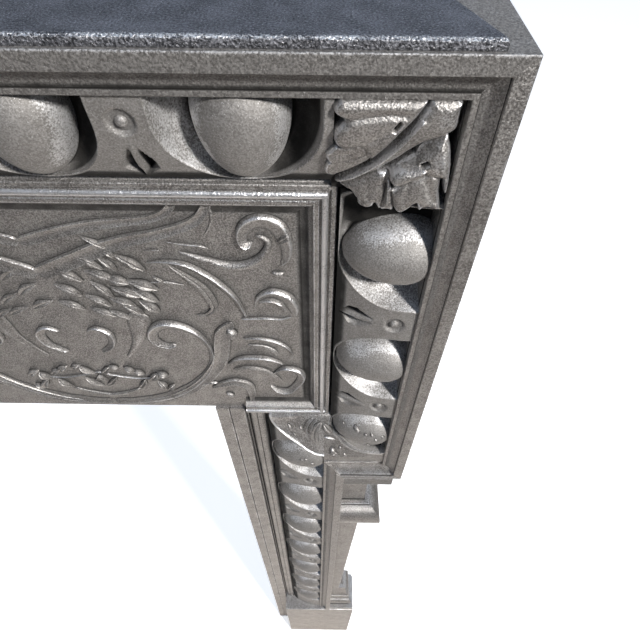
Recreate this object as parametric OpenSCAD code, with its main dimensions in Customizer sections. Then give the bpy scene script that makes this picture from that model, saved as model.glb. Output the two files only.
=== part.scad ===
// Cast-iron fireplace surround with ears, egg-and-dart bands, a relief frieze and
// a tapered pilaster under each ear. Each casting is screwed to plates behind it.
// The origin is on the floor, midway across and midway between front and wall.

/* [Opening and overall size] */
// Width of the fire opening
opening_w = 711; // [640:1:820]
// Height of the fire opening
opening_h = 748; // [700:1:820]
// Depth from the front faces to the wall
depth = 46; // [42:1:70]

/* [Frieze and ears] */
// Height of the frieze above the opening
frieze_h = 227; // [215:1:250]
// How far each ear hangs below the frieze
ear_drop = 60; // [56:1:66]
// How far each ear stands out past the leg
ear_over = 5.5; // [3:0.5:9]

/* [Outer moulding] */
// Width of the flat outer fillet
fillet_w = 6; // [4:0.5:7]
// Step in from the fillet to the cove
quirk_d = 1.6; // [0.8:0.1:2.4]
// Width of the cove
cove_w = 6.4; // [5:0.2:7.5]
// Radius of the hollow of the cove
cove_r = 6; // [5:0.5:12]
// Width of the thin inner strip
strip_w = 2.1; // [1.2:0.1:3]
// Depth of the strip behind the front faces
strip_set = 4; // [3:0.2:5]

/* [Egg and dart band] */
// Width of the band between the two mouldings
band_w = 40; // [38:0.5:42]
// Gap along the inner edge of the band
band_gap = 3.5; // [2:0.5:4.5]
// Depth of the band's face at its outer edge
band_set = 5.5; // [4.5:0.5:7]
// Radius of the band's rounded face
band_r = 64; // [60:1:90]
// Half width of the hollow round an egg
hollow_r = 26.5; // [24:0.5:28]
// Straight length of the hollow at its open end
hollow_run = 7.5; // [5:0.5:9]
// Radius of the egg's round end
egg_r = 16.4; // [13:0.1:17]
// Length of the egg from its middle to its tip
egg_tip = 24.8; // [22:0.2:26]
// Distance of the egg's middle from the outer moulding
egg_in = 9.5; // [7:0.5:11]
// Depth of the egg's front behind the front faces
egg_set = 3; // [2.5:0.1:6]
// Thickness of the floor behind the eggs
band_floor = 2; // [1.5:0.5:3]
// Number of eggs along the frieze
top_eggs = 12; // [11:1:13]
// Spacing of the eggs down the ears and legs
egg_pitch = 75.2; // [68:0.2:76]
// First ear egg below the corner leaf
ear_egg_first = 30.2; // [28:0.2:34]
// Height of the lowest leg egg above the plinth
leg_egg_low = 61; // [50:1:66]
// Number of eggs down each leg
leg_eggs = 7; // [4:1:7]
// Radius of the small ball on each dart
ball_r = 2.2; // [1.5:0.1:3]

/* [Frieze panel and its frame] */
// Width of the frame round the panel
bead_w = 12.5; // [12:0.5:14]
// Depth of the frame's fillets behind the front faces
bead_set = 18; // [17:0.5:19]
// Radius of the round bead in the frame
bead_r = 1.6; // [1.2:0.1:1.9]
// Depth of the panel's ground behind the front faces
ground_set = 22.5; // [21.5:0.5:23]
// How far the scrolls stand out of the ground
relief_h = 3.2; // [2:0.2:4]

/* [Leg, slip and plinth] */
// Width of the flat slip beside the opening
slip_w = 20.5; // [18:0.5:26]
// Depth of the slip's face behind the front faces
slip_set = 20.7; // [20:0.1:22]
// Width of the bead down the inner edge of the leg
leg_bead_w = 9.5; // [8.5:0.5:12]
// Height of the plinth
plinth_h = 191; // [150:1:210]

/* [Pilaster] */
// Height of the flat abacus under the ear
abacus_h = 11; // [8:1:15]
// Height of the neck under the abacus
neck_h = 68; // [50:1:80]
// Height of the rounded moulding under the neck
ovolo_h = 19; // [15:1:24]
// Depth of the shaft's face behind the front faces
shaft_set = 14; // [11:0.5:15]
// Width of the shaft at its top
shaft_top_w = 20.5; // [19:0.5:24]
// Width of the shaft at its foot
shaft_foot_w = 11.2; // [9:0.2:18]
// Height of the moulded base on the plinth
base_h = 77; // [60:1:90]

/* [Backing and fixings] */
// Depth of the backing plates behind the front faces
plate_set = 26; // [25.5:0.5:28]
// Thickness of the backing plates
plate_t = 4; // [3:0.5:6]
// Thickness of the side and top walls
wall_t = 5; // [4:0.5:6]
// Height of the bedding plate on top
cap_h = 3; // [2:0.5:5]
// Radius of the screw shanks
screw_r = 2.9; // [2:0.1:3.2]
// Clearance round a screw in its hole
screw_gap = 0.1; // [0.05:0.05:0.3]
// Radius of the wall screw holes
lug_hole_r = 3.5; // [2.5:0.1:5]
// How far each wall lug stands out
lug_out = 16; // [16:1:34]

/* [Hidden] */
$fn = 48;
// A cut runs this far past the face it starts from
past = 1;

// Across: distances are measured inwards from the outer edge of an ear
frame_w = fillet_w + cove_w + strip_w;
bead_in = frame_w + band_w;
field_in = bead_in + bead_w;
// The leg is set in by one band width, so that its band lines up with the panel frame
leg_out = band_w;
leg_band_in = leg_out + frame_w;
leg_bead_in = leg_band_in + band_w;
slip_in = leg_bead_in + leg_bead_w;
opening_in = slip_in + slip_w;
half_w = opening_w / 2 + opening_in;
top_z = opening_h + frieze_h;
ear_z = opening_h - ear_drop;
front_y = -depth / 2;

iron = [0.34, 0.33, 0.32];
dark_iron = [0.22, 0.22, 0.23];
bright_iron = [0.5, 0.49, 0.47];

// Place of a point, from its distance in from the ear's edge or down from the top
function across(w) = half_w - w;
function down(h) = top_z - h;

// A slab with an outline seen from the front, between two depths
module slab(points, near, far) {
    translate([0, front_y + far, 0]) rotate([90, 0, 0])
        linear_extrude(far - near) polygon(points);
}

// A plain block from its distances in, its heights and its depths
module block(w0, w1, z0, z1, near, far) {
    translate([across(w1), front_y + near, z0]) cube([w1 - w0, far - near, z1 - z0]);
}

// The other side of the surround
module left() {
    mirror([1, 0, 0]) children();
}

// Runs of a section: its first axis points inwards, its second goes back
module down_side(w, z0, z1) {
    translate([across(w), front_y, z0]) mirror([1, 0, 0]) linear_extrude(z1 - z0) children();
}

module along_top(h) {
    translate([-half_w, front_y, down(h)]) rotate([0, 90, 0])
        linear_extrude(2 * half_w) children();
}

module along_foot(z, w0, w1) {
    translate([across(w0), front_y, z]) rotate([0, -90, 0]) linear_extrude(w1 - w0) children();
}

// Centre of a circle of radius r through a and b, on the front side of their chord
function hollow_centre(a, b, r) =
    let (m = (a + b) / 2, d = b - a, l = norm(d), k = sqrt(r * r - l * l / 4))
    m + k * [d[1], -d[0]] / l;

// A hollow between two points of a section
module hollow(a, b, r) {
    intersection() {
        translate(hollow_centre(a, b, r)) circle(r);
        translate([a[0], min(a[1], b[1]) - r]) square([b[0] - a[0], 2 * r]);
    }
}

// Section of the outer moulding: fillet, quirk, cove and thin strip
module rail_section() {
    a = [fillet_w, quirk_d];
    b = [fillet_w + cove_w, strip_set + 0.4];
    difference() {
        polygon([[0, 0], [fillet_w, 0], a, b, [b[0], strip_set], [frame_w, strip_set],
            [frame_w, plate_set], [0, plate_set]]);
        hollow(a, b, cove_r);
    }
}

// The same moulding with a wall at its outer edge that reaches back to the house wall
module walled_rail_section() {
    rail_section();
    translate([0, plate_set]) square([wall_t, depth - plate_set]);
}

// The frames beside the egg bands lap over the low floor along the band's inner edge
lap = 0.9 * band_gap;
lap_drop = 3;
floor_set = plate_set - band_floor;

// Section of the panel frame: lap, fillet, round bead, fillet and a hollow to the ground
module bead_section(width) {
    edge = 1.6;
    groove = bead_set + 1.2;
    bead_mid = edge + bead_r + 0.6;
    second = bead_mid + bead_r + 0.6;
    a = [second + edge, bead_set + 0.4];
    b = [width, ground_set];
    difference() {
        polygon([[-lap, floor_set], [-lap, bead_set + lap_drop], [-lap * 0.65, bead_set],
            [edge, bead_set], [edge, groove], [second, groove], [second, a[1]], a, b,
            [width, plate_set], [0, plate_set], [0, floor_set]]);
        hollow(a, b, bead_w / 2);
    }
    translate([bead_mid, groove - 0.4]) circle(bead_r);
}

// Section of the leg's inner edge: a sloping lap, two flat strips and a low ledge
module leg_bead_section() {
    strip = 3;
    quirk = 0.7;
    ledge = 2 * strip + quirk;
    low = slip_set + 2.8;
    polygon([[-lap, floor_set], [-lap, bead_set + 1.2 * lap_drop], [0, bead_set],
        [strip, bead_set], [strip, bead_set + 1.2],
        [strip + quirk, bead_set + 1.2], [strip + quirk, bead_set + 0.3],
        [ledge, bead_set + 0.3], [ledge, low], [leg_bead_w, low],
        [leg_bead_w, plate_set], [0, plate_set], [0, floor_set]]);
}

// Section of the slip: ledge, wide flat, groove, narrow flat and a wall back to the house
module slip_section() {
    ledge = 2;
    groove_at = slip_w - 9.2;
    groove_w = 0.8;
    polygon([[0, slip_set + 2.8], [ledge, slip_set + 2.8], [ledge, slip_set],
        [groove_at, slip_set], [groove_at, slip_set + 1], [groove_at + groove_w, slip_set + 1],
        [groove_at + groove_w, slip_set], [slip_w, slip_set], [slip_w, depth],
        [slip_w - wall_t, depth], [slip_w - wall_t, plate_set], [0, plate_set]]);
}

// Section of the egg band: a rounded face, then a low floor along its inner edge
band_face = band_w - band_gap;
module band_section() {
    intersection() {
        translate([0, band_set + band_r]) circle(band_r, $fn = 96);
        translate([0, band_set]) square([band_face, plate_set - band_set]);
    }
    translate([0, plate_set - band_floor]) square([band_w, band_floor]);
}

// Outline of the hollow round one egg, open towards the outer moulding
module hollow_outline() {
    translate([hollow_run, 0]) circle(hollow_r);
    translate([-past, -hollow_r]) square([hollow_run + past, 2 * hollow_r]);
}

// Radius of an egg at a distance from its middle, towards its tip
function egg_at(z) = z < 0 ? sqrt(egg_r * egg_r - z * z)
    : egg_r * sqrt(1 - z * z / (egg_tip * egg_tip));

// One egg lying across the band, from the outer moulding to its tip, cut off at the floor
module egg() {
    steps = 7;
    zs = concat([for (part = [1, 2/3, 1/3]) -egg_in * part],
        [for (i = [0 : steps - 1]) egg_tip * sin(90 * i / steps)]);
    difference() {
        translate([egg_in, egg_set + egg_r, 0]) rotate([0, 90, 0]) rotate_extrude()
            polygon(concat([[0, -egg_in]], [for (z = zs) [egg_at(z), z]], [[0, egg_tip]]));
        translate([-past, plate_set - band_floor / 2, -egg_r - past])
            cube([band_w, 2 * egg_r, 2 * (egg_r + past)]);
    }
}

// The two deep cuts that leave a dart between them, and the dished seat of its ball
module dart_cuts() {
    tip = band_face - 3;
    for (side = [-1, 1])
        rotate([-90, 0, 0]) linear_extrude(plate_set - band_floor)
            polygon([[tip, side * 2.2], [tip - 3, side * 5.4], [tip - 11, side * 2.6]]);
    translate([ball_r * 3, band_set - ball_r, 0]) sphere(ball_r * 2);
}

// A straight length of band with eggs centred at the given places
module egg_band(length, eggs, darts) {
    difference() {
        linear_extrude(length) band_section();
        for (at = eggs)
            translate([0, -past, at]) rotate([-90, 0, 0])
                linear_extrude(plate_set - band_floor + past) hollow_outline();
        for (at = darts) translate([0, 0, at]) dart_cuts();
    }
    for (at = eggs) translate([0, 0, at]) egg();
    for (at = darts) translate([ball_r * 3, band_set + ball_r * 0.5, at]) sphere(ball_r);
}

module cap_plate() {
    inset = 4;
    color(dark_iron) translate([-half_w + 2 * inset, front_y + inset / 2, top_z])
        cube([2 * half_w - 4 * inset, depth - inset / 2, cap_h]);
}

module top_rail() {
    color(iron) difference() {
        intersection() {
            along_top(0) walled_rail_section();
            slab([[-half_w, top_z], [half_w, top_z], [across(depth), down(depth)],
                [-across(depth), down(depth)]], -past, depth + past);
        }
        screw_holes();
    }
}

module ear_rail() {
    color(iron) difference() {
        intersection() {
            down_side(0, ear_z, top_z) walled_rail_section();
            slab([[across(0), top_z], [across(frame_w), down(frame_w)],
                [across(frame_w), ear_z + frame_w], [across(0), ear_z]], -past, depth + past);
        }
        screw_holes();
    }
}

module ear_rail_right() {
    ear_rail();
}

module ear_rail_left() {
    left() ear_rail();
}

// The moulding turns under the ear, with a mitre at the corner and one at the leg
module ear_return() {
    color(iron) intersection() {
        along_foot(ear_z, 0, leg_band_in) rail_section();
        slab([[across(0), ear_z], [across(leg_out), ear_z],
            [across(leg_band_in), ear_z + frame_w], [across(frame_w), ear_z + frame_w]],
            -past, depth);
    }
}

module ear_return_right() {
    ear_return();
}

module ear_return_left() {
    left() ear_return();
}

module leg_rail() {
    color(iron) difference() {
        intersection() {
            down_side(leg_out, plinth_h, ear_z + frame_w) rail_section();
            slab([[across(leg_out), plinth_h], [across(leg_out), ear_z],
                [across(leg_band_in), ear_z + frame_w], [across(leg_band_in), plinth_h]],
                -past, depth);
        }
        screw_holes();
    }
}

module leg_rail_right() {
    leg_rail();
}

module leg_rail_left() {
    left() leg_rail();
}

// Along the frieze the eggs are spaced evenly between the corner leaves
top_band_l = 2 * across(bead_in);
top_end = hollow_r + 3.5;
top_pitch = (top_band_l - 2 * top_end) / (top_eggs - 1);
module egg_band_top() {
    color(iron) translate([-across(bead_in), front_y, down(frame_w)]) rotate([0, 90, 0])
        egg_band(top_band_l, [for (i = [0 : top_eggs - 1]) top_end + i * top_pitch],
            [for (i = [0 : top_eggs - 2]) top_end + (i + 0.5) * top_pitch]);
}

ear_band_l = down(bead_in) - (ear_z + frame_w);
module egg_band_ear() {
    first = ear_band_l - ear_egg_first;
    eggs = [for (i = [0 : 2]) first - i * egg_pitch];
    color(iron) translate([across(frame_w), front_y, ear_z + frame_w]) mirror([1, 0, 0])
        egg_band(ear_band_l, eggs, [for (i = [0 : 1]) eggs[i] - egg_pitch / 2]);
}

module egg_band_ear_right() {
    egg_band_ear();
}

module egg_band_ear_left() {
    left() egg_band_ear();
}

// The fan of the ear leaf is a quarter disc about the corner of the panel frame
fan_r = band_w - 6;
module fan_disc() {
    translate([across(leg_band_in), front_y - past, opening_h]) rotate([-90, 0, 0])
        cylinder(r = fan_r, h = depth, $fn = 96);
}

leg_band_l = opening_h - plinth_h;
module egg_band_leg() {
    eggs = [for (i = [0 : leg_eggs - 1]) leg_egg_low + i * egg_pitch];
    darts = [for (i = [0 : leg_eggs - 2]) eggs[i] + egg_pitch / 2];
    color(iron) difference() {
        translate([across(leg_band_in), front_y, plinth_h]) mirror([1, 0, 0])
            egg_band(leg_band_l, eggs, darts);
        fan_disc();
    }
}

module egg_band_leg_right() {
    egg_band_leg();
}

module egg_band_leg_left() {
    left() egg_band_leg();
}

// Height of a leaf over its square: a rib on the diagonal, lobed halves falling away.
// p runs across and q down, both from 0 at the outer corner to 1 at the inner corner.
function leaf_height(p, q) =
    let (along = (p + q) / 2, side = abs(p - q),
        lobe = 0.5 + 0.5 * cos(360 * 2.5 * (along - 0.35 * side)),
        edge = max(0, 1 - pow(side / 0.96, 4)))
    edge * (0.45 + 0.35 * (1 - side) + 0.2 * lobe * min(1, 2 * side)
        + (side < 0.08 ? 0.12 : 0));

// A closed solid over a grid: its back is flat and its front follows the leaf
module leaf_block(size, near, far, cells) {
    n = cells + 1;
    low = far - 4;
    front = [for (j = [0 : cells], i = [0 : cells])
        [-i / cells * size, low - (low - near) * leaf_height(i / cells, j / cells),
            -j / cells * size]];
    rim = concat([for (i = [0 : cells - 1]) i], [for (j = [0 : cells - 1]) j * n + cells],
        [for (i = [cells : -1 : 1]) cells * n + i], [for (j = [cells : -1 : 1]) j * n]);
    last = len(rim);
    back = [for (k = rim) [front[k][0], far, front[k][2]]];
    top = [for (j = [0 : cells - 1], i = [0 : cells - 1]) let (a = j * n + i)
        each [[a, a + n, a + 1], [a + 1, a + n, a + n + 1]]];
    sides = [for (k = [0 : last - 1]) let (m = (k + 1) % last)
        each [[rim[k], rim[m], n * n + k], [rim[m], n * n + m, n * n + k]]];
    polyhedron(concat(front, back, [[-size / 2, far, -size / 2]]), concat(top, sides,
        [for (k = [0 : last - 1]) [n * n + k, n * n + (k + 1) % last, n * n + last]]));
}

leaf_set = 3;
module corner_leaf() {
    color(bright_iron) translate([across(frame_w), front_y, down(frame_w)])
        leaf_block(band_w, leaf_set, plate_set, 22);
}

module corner_leaf_right() {
    corner_leaf();
}

module corner_leaf_left() {
    left() corner_leaf();
}

// The fan leaf in the crook of the ear: ribs spread from the panel corner to a raised rim
fan_set = 9;
module fan_quarter(near, far) {
    intersection() {
        block(leg_band_in, leg_bead_in, opening_h - fan_r, opening_h, near, far);
        fan_disc();
    }
}

module ear_leaf() {
    ribs = 5;
    rim_w = 2;
    rim_set = 6;
    color(bright_iron) {
        fan_quarter(fan_set, plate_set);
        difference() {
            fan_quarter(rim_set, fan_set);
            translate([across(leg_band_in), front_y, opening_h]) rotate([-90, 0, 0])
                cylinder(r = fan_r - rim_w, h = depth, $fn = 96);
        }
        for (i = [0 : ribs - 1])
            intersection() {
                translate([across(leg_band_in), front_y + fan_set, opening_h])
                    rotate([0, -(i + 0.5) * 90 / ribs, 0]) rotate([0, -90, 0])
                        cylinder(r1 = 1, r2 = 5, h = fan_r - 2 * rim_w, $fn = 32);
                block(leg_band_in, leg_bead_in, opening_h - fan_r, opening_h, 0,
                    fan_set + rim_w);
            }
    }
}

module ear_leaf_right() {
    ear_leaf();
}

module ear_leaf_left() {
    left() ear_leaf();
}

// Points along a spiral from one radius to another, seen from the front
function spiral(c, r0, r1, a0, a1, n) =
    [for (i = [0 : n]) let (t = i / n, r = r0 + (r1 - r0) * t, a = a0 + (a1 - a0) * t)
        c + r * [cos(a), sin(a)]];

// A flat ribbon along a row of points, from one width to another
module ribbon(p, w0, w1) {
    n = len(p) - 1;
    dirs = [for (i = [0 : n]) let (d = p[min(n, i + 1)] - p[max(0, i - 1)]) d / norm(d)];
    half = [for (i = [0 : n]) (w0 + (w1 - w0) * i / n) / 2];
    polygon(concat([for (i = [0 : n]) p[i] + half[i] * [-dirs[i][1], dirs[i][0]]],
        [for (i = [n : -1 : 0]) p[i] - half[i] * [-dirs[i][1], dirs[i][0]]]));
}

// One scroll of the frieze: a stem that winds into a volute with a knob and three leaves
volute_start = 200;
volute_turn = 440;
curl_turn = 240;
module scroll(r) {
    ribbon(spiral([0, 0], r, r * 0.22, volute_start, volute_start + volute_turn, 26),
        r * 0.2, r * 0.1);
    circle(r * 0.2, $fn = 24);
    for (a = [60, 120, 300])
        rotate(a) translate([r * 1.02, 0]) ribbon(spiral([0, -r * 0.4], r * 0.4, r * 0.16,
            90, 90 - curl_turn, 14), r * 0.22, r * 0.06);
}

// The relief on the right half of the panel, from its right end to the middle
field_w = across(field_in);
field_h = frieze_h - field_in;
arc_half = 65;
module half_relief() {
    scroll_r = field_h * 0.27;
    first = field_w - field_h * 0.43;
    pitch = (field_w - field_h * 1.26) / 2;
    mid = opening_h + field_h / 2;
    for (i = [0 : 2])
        translate([first - i * pitch, mid]) mirror([0, i % 2]) scroll(scroll_r);
    for (i = [0 : 1])
        translate([first - (i + 0.5) * pitch, mid]) mirror([0, i % 2])
            ribbon(spiral([0, 0], field_h * 0.3, field_h * 0.3, 270 - arc_half,
                270 + arc_half, 16), 2 * relief_h, relief_h);
}

module frieze_panel() {
    color(iron) {
        slab([[-field_w, down(field_in)], [field_w, down(field_in)],
            [field_w, opening_h + bead_w], [across(slip_in), opening_h + bead_w],
            [across(slip_in), opening_h], [-across(slip_in), opening_h],
            [-across(slip_in), opening_h + bead_w], [-field_w, opening_h + bead_w]],
            ground_set, plate_set);
        translate([0, front_y + ground_set + past, 0]) rotate([90, 0, 0])
            linear_extrude(relief_h + past) {
                half_relief();
                mirror([1, 0]) half_relief();
                translate([0, opening_h + field_h / 2]) circle(field_h * 0.2);
            }
    }
}

module panel_bead_top() {
    color(iron) intersection() {
        along_top(bead_in) bead_section(bead_w);
        slab([[across(bead_in), down(bead_in - lap)], [across(bead_in), down(bead_in)],
            [across(field_in), down(field_in)], [-across(field_in), down(field_in)],
            [-across(bead_in), down(bead_in)], [-across(bead_in), down(bead_in - lap)]],
            0, depth);
    }
}

module panel_bead() {
    color(iron) intersection() {
        down_side(bead_in, opening_h, down(bead_in)) bead_section(bead_w);
        slab([[across(bead_in - lap), opening_h], [across(bead_in - lap), down(bead_in)],
            [across(bead_in), down(bead_in)], [across(field_in), down(field_in)],
            [across(field_in), opening_h + bead_w], [across(bead_in), opening_h]], 0, depth);
    }
}

module panel_bead_right() {
    panel_bead();
}

module panel_bead_left() {
    left() panel_bead();
}

module bead_return() {
    color(iron) intersection() {
        along_foot(opening_h, bead_in, slip_in) bead_section(bead_w);
        slab([[across(bead_in), opening_h], [across(field_in), opening_h + bead_w],
            [across(slip_in), opening_h + bead_w], [across(slip_in), opening_h]], 0, depth);
    }
}

module bead_return_right() {
    bead_return();
}

module bead_return_left() {
    left() bead_return();
}

module leg_bead() {
    color(iron) down_side(leg_bead_in, plinth_h, opening_h) leg_bead_section();
}

module leg_bead_right() {
    leg_bead();
}

module leg_bead_left() {
    left() leg_bead();
}

module slip() {
    color(iron) down_side(slip_in, 0, opening_h) slip_section();
}

module slip_right() {
    slip();
}

module slip_left() {
    left() slip();
}

// Mouldings of the pilaster run round its front and its outer side. A profile is a list
// of [how far out, height]: 0 is flush with the shaft and 1 is flush with the plinth.
module turned(z, inner, profile) {
    top = profile[len(profile) - 1][1];
    intersection() {
        translate([0, front_y + depth, z]) rotate([90, 0, 0]) linear_extrude(depth)
            polygon(concat([[across(leg_out), 0]],
                [for (p = profile) [across(inner + (ear_over - inner) * p[0]), p[1]]],
                [[across(leg_out), top]]));
        translate([across(leg_out), front_y, z]) rotate([90, 0, 90]) linear_extrude(leg_out)
            polygon(concat([[depth, 0]], [for (p = profile) [shaft_set * (1 - p[0]), p[1]]],
                [[depth, top]]));
    }
}

// A quarter round in a profile, from its foot to its top in eight straight steps
function quarter(out0, out1, z0, z1) = [for (i = [0 : 8])
    [out1 + (out0 - out1) * cos(i * 90 / 8), z0 + (z1 - z0) * sin(i * 90 / 8)]];

// The capital: abacus, plain neck and a rounded moulding under it
capital_z = ear_z - abacus_h - neck_h - ovolo_h;
neck_in = leg_out - shaft_top_w;
module capital() {
    ledge = 2;
    lip = 2;
    neck_z = ovolo_h + neck_h;
    color(iron) difference() {
        turned(capital_z, neck_in, concat([[1, 0]], quarter(1, 0.3, lip, ovolo_h - ledge),
            [[0.3, ovolo_h], [0, ovolo_h], [0, neck_z], [1, neck_z], [1, neck_z + abacus_h]]));
        block(neck_in + wall_t, leg_out - wall_t, capital_z - past, ear_z - wall_t,
            shaft_set + wall_t, depth + past);
    }
}

module capital_right() {
    capital();
}

module capital_left() {
    left() capital();
}

// The shaft tapers towards its foot: a front wall and an outer wall back to the house
base_z = plinth_h + base_h;
module shaft() {
    foot_in = leg_out - shaft_foot_w;
    color(iron) {
        slab([[across(leg_out), capital_z], [across(neck_in), capital_z],
            [across(foot_in), base_z], [across(leg_out), base_z]],
            shaft_set, shaft_set + wall_t);
        slab([[across(neck_in + wall_t), capital_z], [across(neck_in), capital_z],
            [across(foot_in), base_z], [across(foot_in + wall_t), base_z]],
            shaft_set + wall_t - 0.5, depth);
    }
}

module shaft_right() {
    shaft();
}

module shaft_left() {
    left() shaft();
}

// The pilaster's base: fillet, quirk, round moulding, plain step and a hollow slope
module pilaster_base() {
    fillet = base_h * 0.12;
    round_z = base_h * 0.25;
    round_h = base_h * 0.19;
    step_z = round_z + round_h + 2;
    slope_z = base_h * 0.64;
    foot_in = leg_out - shaft_foot_w;
    bulge = [for (i = [0 : 8])
        [0.45 + 0.22 * sin(i * 180 / 8), round_z + round_h * (0.5 - 0.5 * cos(i * 180 / 8))]];
    slope = [for (i = [0 : 6]) [0.35 * (1 - sin(i * 90 / 6)),
        base_h - (base_h - slope_z) * cos(i * 90 / 6)]];
    color(iron) difference() {
        turned(plinth_h, foot_in, concat([[0.92, 0], [0.92, fillet], [0.5, fillet],
            [0.5, round_z]], bulge, [[0.3, round_z + round_h], [0.3, step_z],
            [0.35, step_z]], slope));
        block(foot_in + wall_t, leg_out - wall_t / 2, plinth_h - past, base_z + past,
            shaft_set + wall_t, depth + past);
    }
}

module pilaster_base_right() {
    pilaster_base();
}

module pilaster_base_left() {
    left() pilaster_base();
}

// The plinth is a box, open at the back
module plinth() {
    color(iron) difference() {
        block(ear_over, slip_in, 0, plinth_h, 0, depth);
        block(ear_over + wall_t, slip_in - wall_t, wall_t, plinth_h - wall_t, wall_t,
            depth + past);
    }
}

module plinth_right() {
    plinth();
}

module plinth_left() {
    left() plinth();
}

// Screws that hold the outer mouldings to the plates behind them
screw_in = 9.5;
screw_d = 7;
rail_screw_x = [for (i = [-2 : 2]) i * half_w * 0.4];
ear_screw_z = [ear_z + ear_drop, top_z - 5 * frame_w];
leg_screw_end = 5 * screw_in;
leg_screw_z = [for (i = [0 : 3])
    plinth_h + leg_screw_end + i * (ear_z - plinth_h - 2 * leg_screw_end) / 3];
module at_rail_screws() {
    for (x = rail_screw_x) translate([x, 0, down(screw_in)]) children();
    for (side = [-1, 1]) {
        for (z = ear_screw_z) translate([side * across(screw_in), 0, z]) children();
        for (z = leg_screw_z)
            translate([side * across(leg_out + frame_w / 2), 0, z]) children();
    }
}

module screw_holes() {
    at_rail_screws() translate([0, front_y + plate_set - screw_d - past, 0])
        rotate([-90, 0, 0]) cylinder(r = screw_r + screw_gap, h = screw_d + plate_t + 2 * past);
}

module rail_screws() {
    color(dark_iron) at_rail_screws() translate([0, front_y, 0]) rotate([-90, 0, 0]) {
        translate([0, 0, plate_set - screw_d])
            cylinder(r = screw_r, h = screw_d + plate_t + past);
        translate([0, 0, plate_set + plate_t]) cylinder(r = screw_r * 1.8, h = screw_r);
    }
}

// Backing plate of the frieze and ears, with a flange over the opening
strap_in = (leg_band_in + leg_bead_in) / 2;
strap_near = 3 * wall_t;
strap_far = 7.6 * wall_t;
strap_z = [for (d = [-strap_far, -strap_near, strap_near, strap_far]) opening_h + d];
module strap_holes() {
    for (side = [-1, 1], z = strap_z)
        translate([side * across(strap_in), front_y + plate_set - past, z]) rotate([-90, 0, 0])
            cylinder(r = screw_r + screw_gap, h = 2 * plate_t + 3 * past);
}

module head_plate() {
    flange_x = across(opening_in);
    color(dark_iron) difference() {
        union() {
            slab([[-across(wall_t), opening_h], [across(wall_t), opening_h],
                [across(wall_t), down(wall_t)], [-across(wall_t), down(wall_t)]],
                plate_set, plate_set + plate_t);
            slab([[-flange_x, opening_h], [flange_x, opening_h],
                [flange_x, opening_h + wall_t], [-flange_x, opening_h + wall_t]],
                plate_set + plate_t - 0.5, depth);
        }
        screw_holes();
        strap_holes();
    }
}

module leg_plate() {
    inner = across(opening_in - wall_t);
    color(dark_iron) difference() {
        slab([[inner, plinth_h], [across(leg_out), plinth_h], [across(leg_out), ear_z],
            [across(wall_t), ear_z], [across(wall_t), opening_h], [inner, opening_h]],
            plate_set, plate_set + plate_t);
        screw_holes();
        strap_holes();
    }
}

module leg_plate_right() {
    leg_plate();
}

module leg_plate_left() {
    left() leg_plate();
}

// Straps that join the frieze to the legs, behind the plates
strap_w = 24;
strap_t = 5;
strap_end = 12;
module joint_strap() {
    near = plate_set + plate_t;
    color(dark_iron) difference() {
        block(strap_in - strap_w / 2, strap_in + strap_w / 2, strap_z[0] - strap_end,
            strap_z[3] + strap_end, near, near + strap_t);
        strap_holes();
    }
}

module joint_strap_right() {
    joint_strap();
}

module joint_strap_left() {
    left() joint_strap();
}

module strap_screws() {
    far = plate_set + plate_t + strap_t;
    color(dark_iron) for (side = [-1, 1], z = strap_z)
        translate([side * across(strap_in), front_y, z]) rotate([-90, 0, 0]) {
            translate([0, 0, plate_set]) cylinder(r = screw_r, h = far - plate_set + past);
            translate([0, 0, far]) cylinder(r = screw_r * 1.8, h = screw_r);
        }
}

// Lugs for the wall screws, at the outer top corners against the house wall
lug_h = 16;
lug_t = 5;
lug_down = 30;
module wall_lug() {
    color(dark_iron) difference() {
        union() {
            block(-lug_out + lug_h / 2, 0, down(lug_down) - lug_h / 2,
                down(lug_down) + lug_h / 2, depth - lug_t, depth);
            translate([across(lug_h / 2 - lug_out), front_y + depth, down(lug_down)])
                rotate([90, 0, 0]) cylinder(r = lug_h / 2, h = lug_t);
        }
        translate([across(lug_h / 2 - lug_out), front_y + depth + past, down(lug_down)])
            rotate([90, 0, 0]) cylinder(r = lug_hole_r, h = lug_t + 2 * past);
    }
}

module wall_lug_right() {
    wall_lug();
}

module wall_lug_left() {
    left() wall_lug();
}

cap_plate();
top_rail();
ear_rail_left();
ear_rail_right();
ear_return_left();
ear_return_right();
leg_rail_left();
leg_rail_right();
egg_band_top();
egg_band_ear_left();
egg_band_ear_right();
egg_band_leg_left();
egg_band_leg_right();
corner_leaf_left();
corner_leaf_right();
ear_leaf_left();
ear_leaf_right();
frieze_panel();
panel_bead_top();
panel_bead_left();
panel_bead_right();
bead_return_left();
bead_return_right();
leg_bead_left();
leg_bead_right();
slip_left();
slip_right();
capital_left();
capital_right();
shaft_left();
shaft_right();
pilaster_base_left();
pilaster_base_right();
plinth_left();
plinth_right();
head_plate();
leg_plate_left();
leg_plate_right();
joint_strap_left();
joint_strap_right();
strap_screws();
rail_screws();
wall_lug_left();
wall_lug_right();
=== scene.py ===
import math
import bpy
import numpy as np
from mathutils import Matrix, Vector


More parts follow.
